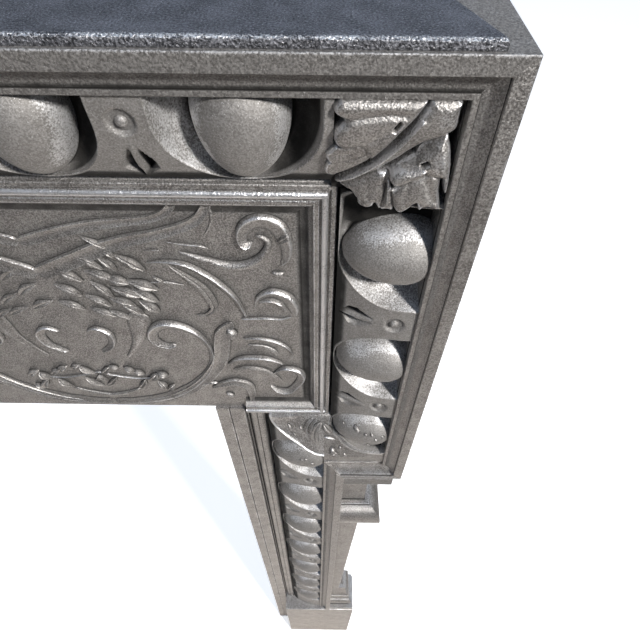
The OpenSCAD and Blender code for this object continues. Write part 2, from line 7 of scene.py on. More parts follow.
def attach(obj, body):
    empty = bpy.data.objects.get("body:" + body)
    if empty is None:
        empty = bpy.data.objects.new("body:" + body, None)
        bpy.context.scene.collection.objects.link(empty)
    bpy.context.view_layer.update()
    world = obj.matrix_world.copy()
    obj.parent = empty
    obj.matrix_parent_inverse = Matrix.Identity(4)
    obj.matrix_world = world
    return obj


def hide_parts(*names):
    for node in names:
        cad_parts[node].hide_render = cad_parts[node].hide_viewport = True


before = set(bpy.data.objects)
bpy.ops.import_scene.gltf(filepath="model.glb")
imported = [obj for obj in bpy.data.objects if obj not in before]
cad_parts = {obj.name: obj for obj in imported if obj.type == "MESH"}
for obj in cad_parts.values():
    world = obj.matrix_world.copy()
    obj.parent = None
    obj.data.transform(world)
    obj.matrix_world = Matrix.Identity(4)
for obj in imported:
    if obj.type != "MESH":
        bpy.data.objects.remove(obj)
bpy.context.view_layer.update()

# The camera stands close to the right upper corner and looks steeply down the leg.
# The lens is a wide one, and the picture is slightly tilted.
MM = 0.001
LENS_PX, PICTURE_PX = 502.5, 640
scene = bpy.context.scene
eye = Vector((422.5, -161.0, 1032.9)) * MM
pitch, yaw, roll = math.radians(50.75), math.radians(-0.26), math.radians(0.56)
look = Vector((math.sin(yaw) * math.cos(pitch), math.cos(yaw) * math.cos(pitch), -math.sin(pitch)))
level = Vector((math.cos(yaw), -math.sin(yaw), 0))
upright = level.cross(look)
cam_x = level * math.cos(roll) + upright * math.sin(roll)
cam_y = upright * math.cos(roll) - level * math.sin(roll)
camera = bpy.data.objects.new("camera", bpy.data.cameras.new("camera"))
scene.collection.objects.link(camera)
camera.data.sensor_width = 36
camera.data.lens = camera.data.sensor_width * LENS_PX / PICTURE_PX
camera.data.clip_start, camera.data.clip_end = 0.01, 50
camera.matrix_world = Matrix([(cam_x[i], cam_y[i], -look[i], eye[i]) for i in range(3)] + [(0, 0, 0, 1)])
scene.camera = camera


# Clear daylight: a small strong lamp high on the right as the sun, a pale blue room above,
# a warm one below and a weak fill. The camera sees the room as white paper.
def add(tree, kind, inputs=(), **settings):
    """A new node. An input is a constant, or a socket or node that it is linked from."""
    n = tree.nodes.new(kind)
    for key, value in settings.items():
        setattr(n, key, value)
    for socket, value in dict(inputs).items():
        if isinstance(value, (int, float, tuple)):
            n.inputs[socket].default_value = value
        else:
            tree.links.new(getattr(value, "outputs", [value])[0], n.inputs[socket])
    return n


def blend_colour(tree, factor, a, b):
    return add(tree, "ShaderNodeMix", {0: factor, 6: a, 7: b}, data_type="RGBA").outputs[2]


def span(tree, value, low, high, kind="LINEAR"):
    """0 at low and below, 1 at high and above."""
    return add(tree, "ShaderNodeMapRange", {0: value, 1: low, 2: high}, interpolation_type=kind).outputs[0]


WHITE = (1, 1, 1, 1)
scene.view_settings.view_transform = "Standard"
world = bpy.data.worlds.new("studio")
scene.world = world
world.use_nodes = True
sky = world.node_tree
sky.nodes.clear()
aim = add(sky, "ShaderNodeSeparateXYZ", {0: add(sky, "ShaderNodeTexCoord").outputs["Generated"]}).outputs
below_above = blend_colour(sky, span(sky, aim[2], 0.0, 0.8), (0.2, 0.18, 0.16, 1), (1.6, 2.1, 3.0, 1))
aside = add(sky, "ShaderNodeMath", {0: aim[0]}, operation="ABSOLUTE")
flanks = blend_colour(sky, span(sky, aside, 0.45, 0.95), below_above, (1.7, 1.7, 1.65, 1))
room = add(sky, "ShaderNodeBackground", {"Color": flanks, "Strength": 0.16})
paper = add(sky, "ShaderNodeBackground", {"Color": WHITE, "Strength": 1})
seen = add(sky, "ShaderNodeLightPath").outputs["Is Camera Ray"]
choose = add(sky, "ShaderNodeMixShader", {0: seen, 1: room, 2: paper})
add(sky, "ShaderNodeOutputWorld", {"Surface": choose})


def lamp(name, place, target, size, power, colour):
    light = bpy.data.lights.new(name, "AREA")
    light.shape, light.size, light.energy, light.color = "SQUARE", size, power, colour
    o = bpy.data.objects.new(name, light)
    scene.collection.objects.link(o)
    o.location = place
    o.rotation_euler = (Vector(target) - Vector(place)).to_track_quat("-Z", "Y").to_euler()


lamp("key", (1.77, -1.42, 2.24), (0.4, 0, 0.85), 0.3, 96, (1.0, 0.97, 0.93))
lamp("top", (0.5, 0.9, 2.4), (0.4, 0, 0.85), 0.9, 7, (0.74, 0.86, 1.0))
lamp("fill", (-1.6, -1.8, 1.4), (0.1, 0, 0.6), 1.6, 2, (1.0, 0.95, 0.88))


# The floor is a wide pale sheet under the plinths. The camera sees it as paper with the
# shadow on it, and the iron mirrors it as a warm ground that darkens further off.
def new_material(name):
    m = bpy.data.materials.new(name)
    m.use_nodes = True
    m.node_tree.nodes.clear()
    return m, m.node_tree


bpy.ops.object.select_all(action="DESELECT")
bpy.ops.mesh.primitive_plane_add(size=8, location=(0, 0, 0))
floor = bpy.context.object
floor.name = "floor"
pale, tree = new_material("pale_floor")
spot = add(tree, "ShaderNodeTexCoord").outputs["Object"]
away = add(tree, "ShaderNodeVectorMath", {0: spot}, operation="LENGTH").outputs["Value"]
ground = blend_colour(tree, span(tree, away, 0.45, 1.5), (1.0, 0.9, 0.8, 1), (0.05, 0.05, 0.05, 1))
warm = add(tree, "ShaderNodeBsdfDiffuse", {"Color": ground})
matt = add(tree, "ShaderNodeBsdfDiffuse", {"Color": (0.86, 0.86, 0.86, 1)})
seen = add(tree, "ShaderNodeLightPath").outputs["Is Camera Ray"]
mirrored = add(tree, "ShaderNodeMixShader", {0: seen, 1: warm, 2: matt})
lift = add(tree, "ShaderNodeMath", {0: seen, 1: 0.65}, operation="MULTIPLY")
glow = add(tree, "ShaderNodeEmission", {"Color": WHITE, "Strength": lift})
add(tree, "ShaderNodeOutputMaterial", {"Surface": add(tree, "ShaderNodeAddShader", {0: mirrored, 1: glow})})
floor.data.materials.append(pale)

# The outer mouldings are straight iron castings with mitred ends. Their arrises are
# bright from years of polishing, and old blacking and painted shade darken the inner corners.
HALF, TOP, FRONT = 480.0, 975.0, -23.0
EAR_Z, OPEN_Z, PLINTH_Z, DEPTH, SEAT = 688.0, 748.0, 191.0, 46.0, 26.0


def at(w, h, v):
    """A place on the right half: w in from the ear's edge, h below the top, v behind the front."""
    return Vector((HALF - w, FRONT + v, TOP - h)) * MM


def across(p):
    """The same place on the other half."""
    return Vector((-p.x, p.y, p.z))


def maths(tree, operation, a, b, clamp=False):
    return add(tree, "ShaderNodeMath", {0: a, 1: b}, operation=operation, use_clamp=clamp).outputs[0]


def uneven(tree, value, pattern, amount):
    """The value, raised or lowered where the pattern is above or below its middle."""
    return maths(tree, "ADD", value, maths(tree, "MULTIPLY", maths(tree, "SUBTRACT", pattern, 0.5), amount))


def make_group(name, inputs, outputs):
    """A node group and its input node. A default is a number, a colour or, for a vector, None."""
    g = bpy.data.node_groups.new(name, "ShaderNodeTree")
    for label, default in inputs.items():
        kind = {float: "Float", tuple: "Color"}.get(type(default), "Vector")
        s = g.interface.new_socket(label, in_out="INPUT", socket_type="NodeSocket" + kind)
        if default is not None:
            s.default_value = default
    for label in outputs:
        kind = "Color" if label == "Color" else "Float"
        g.interface.new_socket(label, in_out="OUTPUT", socket_type="NodeSocket" + kind)
    return g, g.nodes.new("NodeGroupInput")


# Sand-cast grain: fine pebbles, a few pits and broad uneven patches.
grain, g_in = make_group("cast_grain", {"Vector": None}, ("Fine", "Patch", "Fleck", "Height"))
fine, patch, speck = [add(grain, "ShaderNodeTexNoise", {"Vector": g_in, "Scale": size, "Detail": detail,
                                                        "Roughness": rough})
                      for size, detail, rough in ((1500, 5, 0.65), (95, 4, 0.6), (2300, 2, 0.5))]
pebble = add(grain, "ShaderNodeTexVoronoi", {"Vector": g_in, "Scale": 1100})
fleck = span(grain, speck, 0.66, 0.73, "SMOOTHSTEP")
rough = maths(grain, "ADD", maths(grain, "MULTIPLY", fine, 0.6), maths(grain, "MULTIPLY", pebble, 0.4))
add(grain, "NodeGroupOutput", {0: fine, 1: patch, 2: fleck, 3: rough})

# Polish, blacking and painted light: bright metal where the piece is polished and where a highlight is
# painted, black where it is never polished and where a shade is painted.
wear_and_light, w_in = make_group("wear_and_light_iron", {
    "Iron": (0.3, 0.28, 0.26, 1), "Light": (0.4, 0.38, 0.35, 1), "Wear_And_Sheen": 0.0, "Blacking_And_Shade": 0.0,
    "Fine": 0.5, "Patch": 0.5, "Fleck": 0.0, "Satin": 0.42}, ("Color", "Roughness", "Metallic"))
iron, light_iron, wear_and_sheen_in, blacking_and_shade_in, fine_in, patch_in, fleck_in, satin = [w_in.outputs[i] for i in range(8)]
tone = maths(wear_and_light, "ADD", maths(wear_and_light, "MULTIPLY", fine_in, 0.78), maths(wear_and_light, "MULTIPLY", patch_in, 0.22))
body = blend_colour(wear_and_light, span(wear_and_light, tone, 0.38, 0.63, "SMOOTHSTEP"), iron, light_iron)
rubbed_and_lit = uneven(wear_and_light, uneven(wear_and_light, wear_and_sheen_in, fine_in, 2.2), patch_in, 1.2)
bright = span(wear_and_light, rubbed_and_lit, 0.62, 1.35, "SMOOTHSTEP")
bright = maths(wear_and_light, "MAXIMUM", bright, maths(wear_and_light, "MULTIPLY", fleck_in, 0.8))
# The dark mask is blacking and painted shade together.
soot_and_shade = span(wear_and_light, uneven(wear_and_light, blacking_and_shade_in, patch_in, 0.5), 0.12, 0.9, "SMOOTHSTEP")
keep = maths(wear_and_light, "MULTIPLY", bright, maths(wear_and_light, "SUBTRACT", 1.0, soot_and_shade))
shown = blend_colour(wear_and_light, soot_and_shade, body, (0.012, 0.011, 0.01, 1))
# The pale colour is polished metal and painted highlight together.
shown = blend_colour(wear_and_light, keep, shown, (0.72, 0.72, 0.73, 1))
gloss = maths(wear_and_light, "SUBTRACT", uneven(wear_and_light, satin, fine_in, 0.3), maths(wear_and_light, "MULTIPLY", keep, 0.16))
gloss = maths(wear_and_light, "ADD", gloss, maths(wear_and_light, "MULTIPLY", soot_and_shade, 0.35), clamp=True)
metal = maths(wear_and_light, "SUBTRACT", 0.9, maths(wear_and_light, "MULTIPLY", soot_and_shade, 0.75))
add(wear_and_light, "NodeGroupOutput", {0: shown, 1: gloss, 2: metal})


def iron_material(name, dark, light, satin=0.42, bump=0.35, wear_and_sheen=None, blacking_and_shade=None):
    """Cast iron in two tones. wear_and_sheen and blacking_and_shade, polish with painted highlights and
    blacking with painted shade, are fixed amounts, or the piece's own attributes.
    """
    m, t = new_material(name)
    cast = add(t, "ShaderNodeGroup", {0: add(t, "ShaderNodeTexCoord").outputs["Object"]}, node_tree=grain)
    inputs = {"Iron": (*dark, 1), "Light": (*light, 1), "Satin": satin, "Wear_And_Sheen": wear_and_sheen, "Blacking_And_Shade": blacking_and_shade}
    inputs.update({label: cast.outputs[label] for label in ("Fine", "Patch", "Fleck")})
    for label in ("Wear_And_Sheen", "Blacking_And_Shade"):
        if inputs[label] is None:
            inputs[label] = add(t, "ShaderNodeAttribute", attribute_name=label.lower()).outputs["Fac"]
    finish = add(t, "ShaderNodeGroup", inputs, node_tree=wear_and_light).outputs
    bumps = add(t, "ShaderNodeBump", {"Strength": bump, "Distance": 0.0008, "Height": cast.outputs["Height"]})
    shader = add(t, "ShaderNodeBsdfPrincipled", {
        "Base Color": finish["Color"], "Roughness": finish["Roughness"], "Metallic": finish["Metallic"],
        "Normal": bumps})
    add(t, "ShaderNodeOutputMaterial", {"Surface": shader})
    return m


burnished = iron_material("burnished_iron", (0.2, 0.19, 0.183), (0.5, 0.485, 0.47), satin=0.5, bump=0.5)


def smooth(x):
    x = np.clip(x, 0, 1)
    return x * x * (3 - 2 * x)


def section(*corners):
    """A closed outline with its polish, and its blacking and painted shade. Each corner is (u, v, kind): "w"
    is an arris polished bright, "d" an inner corner darkened with blacking and painted shade, "-" plain.
    Returns rows of u, v, wear_and_sheen, blacking_and_shade."""
    rows = []
    for i, (u, v, kind) in enumerate(corners):
        if kind == "-":
            rows.append((u, v, 0.0, 0.0))
            continue
        here = Vector((u, v))
        ways = [Vector(corners[j][:2]) - here for j in (i - 1, (i + 1) % len(corners))]
        back, ahead = [[here + way * min(0.45, reach / max(way.length, 1e-6)) for reach in (0.28, 1.7)]
                       for way in ways]
        if kind == "w":
            rows += [(*back[1], 0, 0), (*back[0], 1, 0), (*ahead[0], 1, 0), (*ahead[1], 0, 0)]
        else:
            rows += [(*back[1], 0, 0), (u, v, 0, 1), (*ahead[1], 0, 0)]
    return rows


def hollow(a, b, r, steps=9):
    """Plain corners along a hollow of radius r from a to b."""
    a, b = Vector(a), Vector(b)
    d = b - a
    c = (a + b) / 2 + Vector((d.y, -d.x)) * math.sqrt(r * r - d.length_squared / 4) / d.length
    t0, t1 = [math.atan2(p.y - c.y, p.x - c.x) for p in (a, b)]
    turns = [t0 + (t1 - t0) * i / steps for i in range(1, steps)]
    return [(c.x + r * math.cos(t), c.y + r * math.sin(t), "-") for t in turns]


def marks(o, wear_and_sheen, blacking_and_shade):
    """The polish with painted highlights, and the blacking with painted shade, at each point of a piece, or
    one amount for all of it.
    """
    for label, values in (("wear_and_sheen", wear_and_sheen), ("blacking_and_shade", blacking_and_shade)):
        layer = o.data.attributes.new(label, "FLOAT", "POINT")
        layer.data.foreach_set("value", np.full(len(o.data.vertices), values, np.float32))


def face_outwards():
    """Turns the faces of the piece in hand outwards, in edit mode."""
    bpy.ops.mesh.select_all(action="SELECT")
    bpy.ops.mesh.normals_make_consistent(inside=False)


SHARP = math.radians(28)


def moulding(name, rows, origin, inward, run, cuts=(), deep=Vector((0, 1, 0))):
    """A straight casting: the section is drawn, drawn out along the run, and its ends are
    sawn off on the cut planes. Each cut is (point, normal towards the waste)."""
    bpy.ops.object.select_all(action="DESELECT")
    bpy.ops.mesh.primitive_circle_add(vertices=len(rows), fill_type="NGON")
    o = bpy.context.object
    o.name = o.data.name = name
    for vertex, (u, v, _, _) in zip(o.data.vertices, rows):
        vertex.co = origin + (inward * u + deep * v) * MM
    marks(o, [r[2] for r in rows], [r[3] for r in rows])
    bpy.ops.object.mode_set(mode="EDIT")
    bpy.ops.mesh.select_all(action="SELECT")
    bpy.ops.mesh.extrude_region_move(TRANSFORM_OT_translate={"value": run})
    face_outwards()
    for point, waste in cuts:
        bpy.ops.mesh.select_all(action="SELECT")
        bpy.ops.mesh.bisect(plane_co=point, plane_no=waste, use_fill=True, clear_outer=True)
    bpy.ops.object.mode_set(mode="OBJECT")
    bpy.ops.object.shade_smooth_by_angle(angle=SHARP)
    return o


def hold(o, *others):
    """Takes these pieces in hand and no others, with the first one active."""
    bpy.ops.object.select_all(action="DESELECT")
    for piece in (o, *others):
        piece.select_set(True)
    bpy.context.view_layer.objects.active = o


def twin(piece):
    """The same casting on the other side, with its own mesh."""
    o = piece.copy()
    o.data = piece.data.copy()
    o.name = o.data.name = piece.name + "_left"
    scene.collection.objects.link(o)
    co = np.empty(len(o.data.vertices) * 3, np.float32)
    o.data.vertices.foreach_get("co", co)
    co[0::3] *= -1
    o.data.vertices.foreach_set("co", co)
    hold(o)
    bpy.ops.object.mode_set(mode="EDIT")
    bpy.ops.mesh.select_all(action="SELECT")
    bpy.ops.mesh.flip_normals()
    bpy.ops.object.mode_set(mode="OBJECT")
    return o


def set_in(piece, material, *nodes):
    """Gives a piece its finish and its place in the frame."""
    piece.data.materials.clear()
    piece.data.materials.append(material)
    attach(piece, "root")
    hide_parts(*nodes)


def pair(piece, node, material=burnished):
    """Sets in a piece on the right and its twin on the left."""
    set_in(piece, material, node + "_right")
    set_in(twin(piece), material, node + "_left")


IN, DOWN, UP, OUT = Vector((-1, 0, 0)), Vector((0, 0, -1)), Vector((0, 0, 1)), Vector((1, 0, 0))
FALL, TALLER = Vector((1, 0, -1)), 1.22
STEEP = Vector((TALLER, 0, 1))
FRAME_W, BAND_W, BEAD_W = 14.5, 40.0, 12.5
BEAD_IN, CROOK_H = FRAME_W + BAND_W, TOP - OPEN_Z
FLAT_W, COVE_END = 6.0, 12.4
rail_face = [(0, 0, "w"), (FLAT_W, 0, "w"), (FLAT_W, 1.6, "d"), *hollow((FLAT_W, 1.6), (COVE_END, 4.4), 6),
             (COVE_END, 4.7, "d"), (COVE_END, 4, "w"), (FRAME_W, 4, "w"), (FRAME_W, 9, "d"),
             (FRAME_W, SEAT, "-")]


def shaded_cove(rows):
    """Painted shade over the cove, darkest by the strip at its inner edge; the fine arrises are only lightly
    polished.
    """
    cove = [0.55 * float(smooth((u - 8.4) / 2.6)) if 6.05 < u < 12.38 else 0 for u, _, _, _ in rows]
    return [(u, v, w * (1.0 if u < 1 else 0.3), max(d, black)) for (u, v, w, d), black in zip(rows, cove)]


open_section = section(*rail_face, (0, SEAT, "-"))
walled_rail = shaded_cove(section(*rail_face, (5, SEAT, "-"), (5, DEPTH, "-"), (0, DEPTH, "-")))
# The rail over the frieze is darkened all over with painted shade, most at the quirk by its strip.
shaded_top_rail = [(u, v, w, max(d, 0.8 if 11.4 < u < 12.45 else 0.5)) for u, v, w, d in walled_rail]
corner, ear_foot, leg_corner = at(0, 0, 0), at(0, TOP - EAR_Z, 0), at(BAND_W, TOP - EAR_Z, 0)
top_rail = moulding("rail_over_frieze", shaded_top_rail, at(2 * HALF, 0, 0), DOWN, OUT * 2 * HALF * MM,
                    [(corner, FALL), (across(corner), across(FALL))])
set_in(top_rail, burnished, "top_rail")
pair(moulding("ear_side_rail", walled_rail, ear_foot, IN, UP * (TOP - EAR_Z) * MM,
              [(corner, -FALL), (ear_foot, -STEEP)]), "ear_rail")

# The return's face is darkened with painted shade and its arrises are less bright; its cove is brightened all
# over with a painted sheen.
return_rows = []
for u, v, w, d in open_section:
    tall_u = float(np.interp(u, (0, FLAT_W, COVE_END, FRAME_W), (0, 2.8, 15.4, TALLER * FRAME_W)))
    if u < FLAT_W + 0.1:
        return_rows.append((tall_u, v, w * 0.6, max(d, 0.42)))
    else:
        return_rows.append((tall_u, v, 1.0 if 6.2 < u < 12 else 0.1, d))
pair(moulding("rail_under_ear", return_rows, ear_foot, UP, IN * BEAD_IN * MM,
              [(ear_foot, STEEP), (leg_corner, -STEEP)]), "ear_return")
# The leg rail is darkened a little all over, and its arrises are less bright.
leg_rows = [(u, v, w * 0.7, max(d, 0.25)) for u, v, w, d in shaded_cove(open_section)]
pair(moulding("leg_outer_rail", leg_rows, at(BAND_W, TOP - PLINTH_Z, 0), IN,
              UP * (EAR_Z + TALLER * FRAME_W - PLINTH_Z) * MM, [(leg_corner, STEEP)]), "leg_rail")

# The cap plate lies on the top edge, a little back from the front. Its front arris is
# rough, rounded and rubbed bright, and its ends are broken off unevenly.
CAP_IN, CAP_V, CAP_T = 8.0, 2.0, 3.0
cap_rows = [(0, 0, 0, 0.6), (0.6, 0, 0, 0.2), (1.8, 0, 0.2, 0), (2.4, 0.2, 0.8, 0), (2.8, 0.7, 1, 0),
            (CAP_T, 1.4, 0.9, 0), (CAP_T, 2.6, 0.3, 0), (CAP_T, 5, 0, 0), (CAP_T, DEPTH - CAP_V, 0, 0),
            (0, DEPTH - CAP_V, 0, 0)]
cap = moulding("cap_plate_on_top", cap_rows, at(2 * HALF - CAP_IN, 0, CAP_V), UP,
               OUT * 2 * (HALF - CAP_IN) * MM,
               [(at(CAP_IN + 1, 0, CAP_V), Vector((1, 0.36, 0))),
                (at(2 * HALF - CAP_IN - 1, 0, CAP_V), Vector((-1, 0.3, 0)))])
cap_iron = iron_material("cap_iron", (0.055, 0.056, 0.062), (0.26, 0.265, 0.29), satin=0.48, bump=1.0)
set_in(cap, cap_iron, "cap_plate")

# The egg-and-dart bands are cast in long strips. Each egg lies in a deep socket with a
# sharp rim, and a dart with a small ball in a dished boss stands between two sockets.
satin_iron = iron_material("satin_iron", (0.25, 0.24, 0.23), (0.42, 0.41, 0.4), satin=0.73, bump=0.3)
EGG_MID, EGG_R, EGG_AXIS, EGG_TIP = 9.5, 16.6, 19.4, 25.5
BAND_SET, BAND_R, FACE_W, FLOOR_V = 5.5, 64.0, 36.5, 24.0
SOCKET_R, SOCKET_MID = 27.0, 9.2
DART_CUT, DART_CREST, DART_HALF = 4.6, 0.4, 0.8
BOSS_R, BOSS_DEEP, BALL_R, BALL_SUNK = 5.3, 1.5, 2.2, 1.9
STRIP_EDGE = -20.0


def band_face(u):
    return BAND_SET + BAND_R - np.sqrt(BAND_R ** 2 - np.clip(u, STRIP_EDGE, FACE_W + 2) ** 2)


def egg_radius(z):
    """Radius of the egg at z from its middle, z being positive towards its tip."""
    z = np.asarray(z, float)
    tip = EGG_R * np.sqrt(np.clip(1 - (z / EGG_TIP) ** 2, 0, 1))
    return np.where(z > 0, tip, np.sqrt(np.maximum(EGG_R ** 2 - z ** 2, 0)))


def web(x, u, from_socket, mid_left, mid_right):
    """Depth, polish with painted highlights, and blacking with painted shade of the web between sockets.
    mid_left and mid_right are the places of the darts on either side of this egg, or None."""
    v = band_face(u)
    wear_and_sheen = 0.15 * np.exp(-from_socket / 1.2)
    # Painted shadow: the web darkens towards its outer edge, where the frame's shadow falls, and along the
    # strip at its inner edge.
    blacking_and_shade = 0.8 * smooth((u - 30.5) / 3) + 0.1 * smooth((u - 34) / 0.8) + 0.3 * smooth((2 - u) / 2)
    for mid in (mid_left, mid_right):
        if mid is None:
            continue
        m = np.abs(x - mid)
        side = 0.5 + 0.6 * np.clip((34 - u) / 12, 0, 1)
        outer = 0.9 + 5.4 * np.minimum(np.clip((u - 17.5) / 9, 0, 1), np.clip((34.6 - u) / 4.6, 0, 1))
        cut = smooth((m - side) / 0.8) * smooth((outer - m) / 2.6) * (x * mid > 0)
        v = v + DART_CUT * cut
        # The dart's pockets are darkened with blacking and painted shade.
        blacking_and_shade = np.maximum(blacking_and_shade, smooth((m - side) / 0.6) * smooth((outer - 1.6 - m) / 1.0) * (x * mid > 0))
        crest = smooth((u - 17) / 2) * smooth((35.5 - u) / 1.5) * np.exp(-(m / DART_HALF) ** 2)
        v = v - DART_CREST * crest
        wear_and_sheen = np.maximum(wear_and_sheen, 0.4 * crest)
        r = np.sqrt(m ** 2 + (u - EGG_MID) ** 2)
        dish = smooth((BOSS_R - r) / 1.6)
        v = v + BOSS_DEEP * dish
        # The boss's dish is darkened with blacking and painted shade.
        blacking_and_shade = np.maximum(blacking_and_shade, 0.4 * dish)
        wear_and_sheen = np.maximum(wear_and_sheen, 0.3 * np.exp(-((r - 5.2) / 0.7) ** 2))
    return v, wear_and_sheen, blacking_and_shade


def egg_cell(x0, x1, dart0, dart1, wider, closer, shaded):
    """One egg in its socket and the web round it, as rings from the egg's middle out to the
    cell's edge. Returns points (x along the band, u across, v deep), marks and faces."""
    low, high = STRIP_EDGE, FACE_W
    side_u = np.concatenate([np.linspace(high, 0, 40)[:-1], np.linspace(0, low, 6)])
    foot = np.linspace(x0, x1, 53)
    edge = [(x, high) for x in foot[:-1]] + [(x1, u) for u in side_u[:-1]]
    edge += [(x, low) for x in np.linspace(x1, x0, 9)[:-1]] + [(x0, u) for u in side_u[::-1][:-1]]
    edge = np.array(edge)
    rel = edge - [0, EGG_MID]
    reach = np.hypot(rel[:, 0], rel[:, 1])
    d = rel / reach[:, None]
    sx, cz = np.abs(d[:, 0]), d[:, 1]
    near, egg = np.zeros(len(edge)), np.full(len(edge), EGG_TIP)
    for _ in range(28):
        mid = (near + egg) / 2
        outside = mid * sx > egg_radius(mid * cz)
        near, egg = np.where(outside, near, mid), np.where(outside, mid, egg)
    shift = SOCKET_MID - EGG_MID
    before, after = smooth(-1.6 * d[:, 0]), smooth(1.6 * d[:, 0] + 0.2)
    socket = SOCKET_R + wider * before - closer * after
    shade = before * (wider > 0) + after * shaded
    ring = shift * cz + np.sqrt(socket ** 2 - shift ** 2 * (1 - cz ** 2))
    ring = np.where(ring * cz < shift, socket / np.maximum(sx, 0.2), ring)
    ring = np.minimum(np.maximum(ring, egg + 0.9), reach - 0.35)
    gap = np.clip((ring - egg) / 6, 0.0, 1)
    rings = []

    def put(rho, v, wear_and_sheen, blacking_and_shade):
        p = d * np.minimum(rho, reach)[:, None] + [0, EGG_MID]
        full = [np.broadcast_to(q, rho.shape) for q in (v, wear_and_sheen, blacking_and_shade)]
        rings.append(np.column_stack([p, *full]))

    for k in range(1, 10):
        t = math.sin(math.radians(k * 10))
        rho = egg * t
        z = rho * cz
        r_z = egg_radius(z)
        v = EGG_AXIS - np.sqrt(np.maximum(r_z ** 2 - (rho * sx) ** 2, 0))
        # Painted reflection: the egg's flanks are brightened as if they mirrored the lit bowl. Painted shade
        # darkens the egg's middle and its edge by the socket.
        flank = smooth((t - 0.5) / 0.35) * smooth(1.5 * sx)
        put(rho, v, 1.05 * flank, np.maximum(smooth((v - EGG_AXIS + 1.0) / 1.5) * 0.6, 0.27 * (1 - t)))
    floor_v = np.minimum(FLOOR_V - 0.8, band_face(EGG_MID + egg * cz) + 9 * gap + 0.4)
    floor_v = np.maximum(floor_v, EGG_AXIS + 0.6)
    rim_v = band_face(EGG_MID + ring * cz)
    # The socket's floor beside the egg is darkened with blacking and painted shade. The bowl is brightened
    # with a painted sunlit sheen, and on its shaded side it is painted dark instead.
    put(egg + 0.05 * gap, floor_v, 0, 1.0)
    for out, up, blacking_and_shade in ((0.14, 0.0, 0.75), (0.3, 0.03, 0.4), (0.46, 0.12, 0.15), (0.6, 0.26, 0.05),
                          (0.74, 0.46, 0), (0.86, 0.7, 0), (0.95, 0.9, 0)):
        put(egg + (ring - egg) * out, floor_v + (rim_v - floor_v) * up ** (1 + shade), 0.9 * (1 - shade),
            np.maximum(blacking_and_shade, 0.95 * shade * (out < 0.9)))
    put(ring - 0.08, rim_v + 0.12, 0.8, 0)
    put(ring + 0.3, rim_v - 0.12, 0.5, 0)
    start = ring + 1.1
    for k in range(15):
        rho = start + (reach - start) * (k / 14)
        rho = np.maximum(rho, ring + 0.35)
        p = d * np.minimum(rho, reach)[:, None] + [0, EGG_MID]
        put(rho, *web(p[:, 0], p[:, 1], rho - ring, dart0, dart1))
    n = len(edge)
    points = np.vstack([[[0, EGG_MID, EGG_AXIS - EGG_R, 0.16, 0]], *rings])
    faces = [(0, 1 + (i + 1) % n, 1 + i) for i in range(n)]
    for k in range(len(rings) - 1):
        a0, b0 = 1 + k * n, 1 + (k + 1) * n
        faces += [(a0 + i, a0 + (i + 1) % n, b0 + (i + 1) % n, b0 + i) for i in range(n)]
    return points, faces


def shaped(name, points, faces, wear_and_sheen, blacking_and_shade):
    """A piece made from the points and faces of its surface, in hand and in edit mode."""
    mesh = bpy.data.meshes.new(name)
    mesh.from_pydata(points, [], faces)
    o = bpy.data.objects.new(name, mesh)
    scene.collection.objects.link(o)
    marks(o, wear_and_sheen, blacking_and_shade)
    hold(o)
    bpy.ops.object.mode_set(mode="EDIT")
    return o


def close_back(o):
    """Draws the open edge of a front back to its seat, closes it there and leaves edit mode."""
    bpy.ops.mesh.select_mode(type="VERT")
    bpy.ops.mesh.select_all(action="DESELECT")
    bpy.ops.mesh.select_non_manifold(extend=False, use_wire=False, use_boundary=True,
                                     use_multi_face=False, use_non_contiguous=False, use_verts=False)
    bpy.ops.mesh.extrude_region_move()
    bpy.ops.object.mode_set(mode="OBJECT")
    for vertex in o.data.vertices:
        if vertex.select:
            vertex.co.y = (FRONT + SEAT) * MM
    bpy.ops.object.mode_set(mode="EDIT")
    bpy.ops.mesh.edge_face_add()
    face_outwards()
    bpy.ops.object.mode_set(mode="OBJECT")


def block(name, a, b):
    """A plain block between two opposite corners."""
    bpy.ops.object.select_all(action="DESELECT")
    bpy.ops.mesh.primitive_cube_add(size=1)
    o = bpy.context.object
    o.name = o.data.name = name
    o.location = (a + b) / 2
    o.scale = [abs(p - q) for p, q in zip(a, b)]
    bpy.ops.object.transform_apply(location=True, rotation=True, scale=True)
    return o


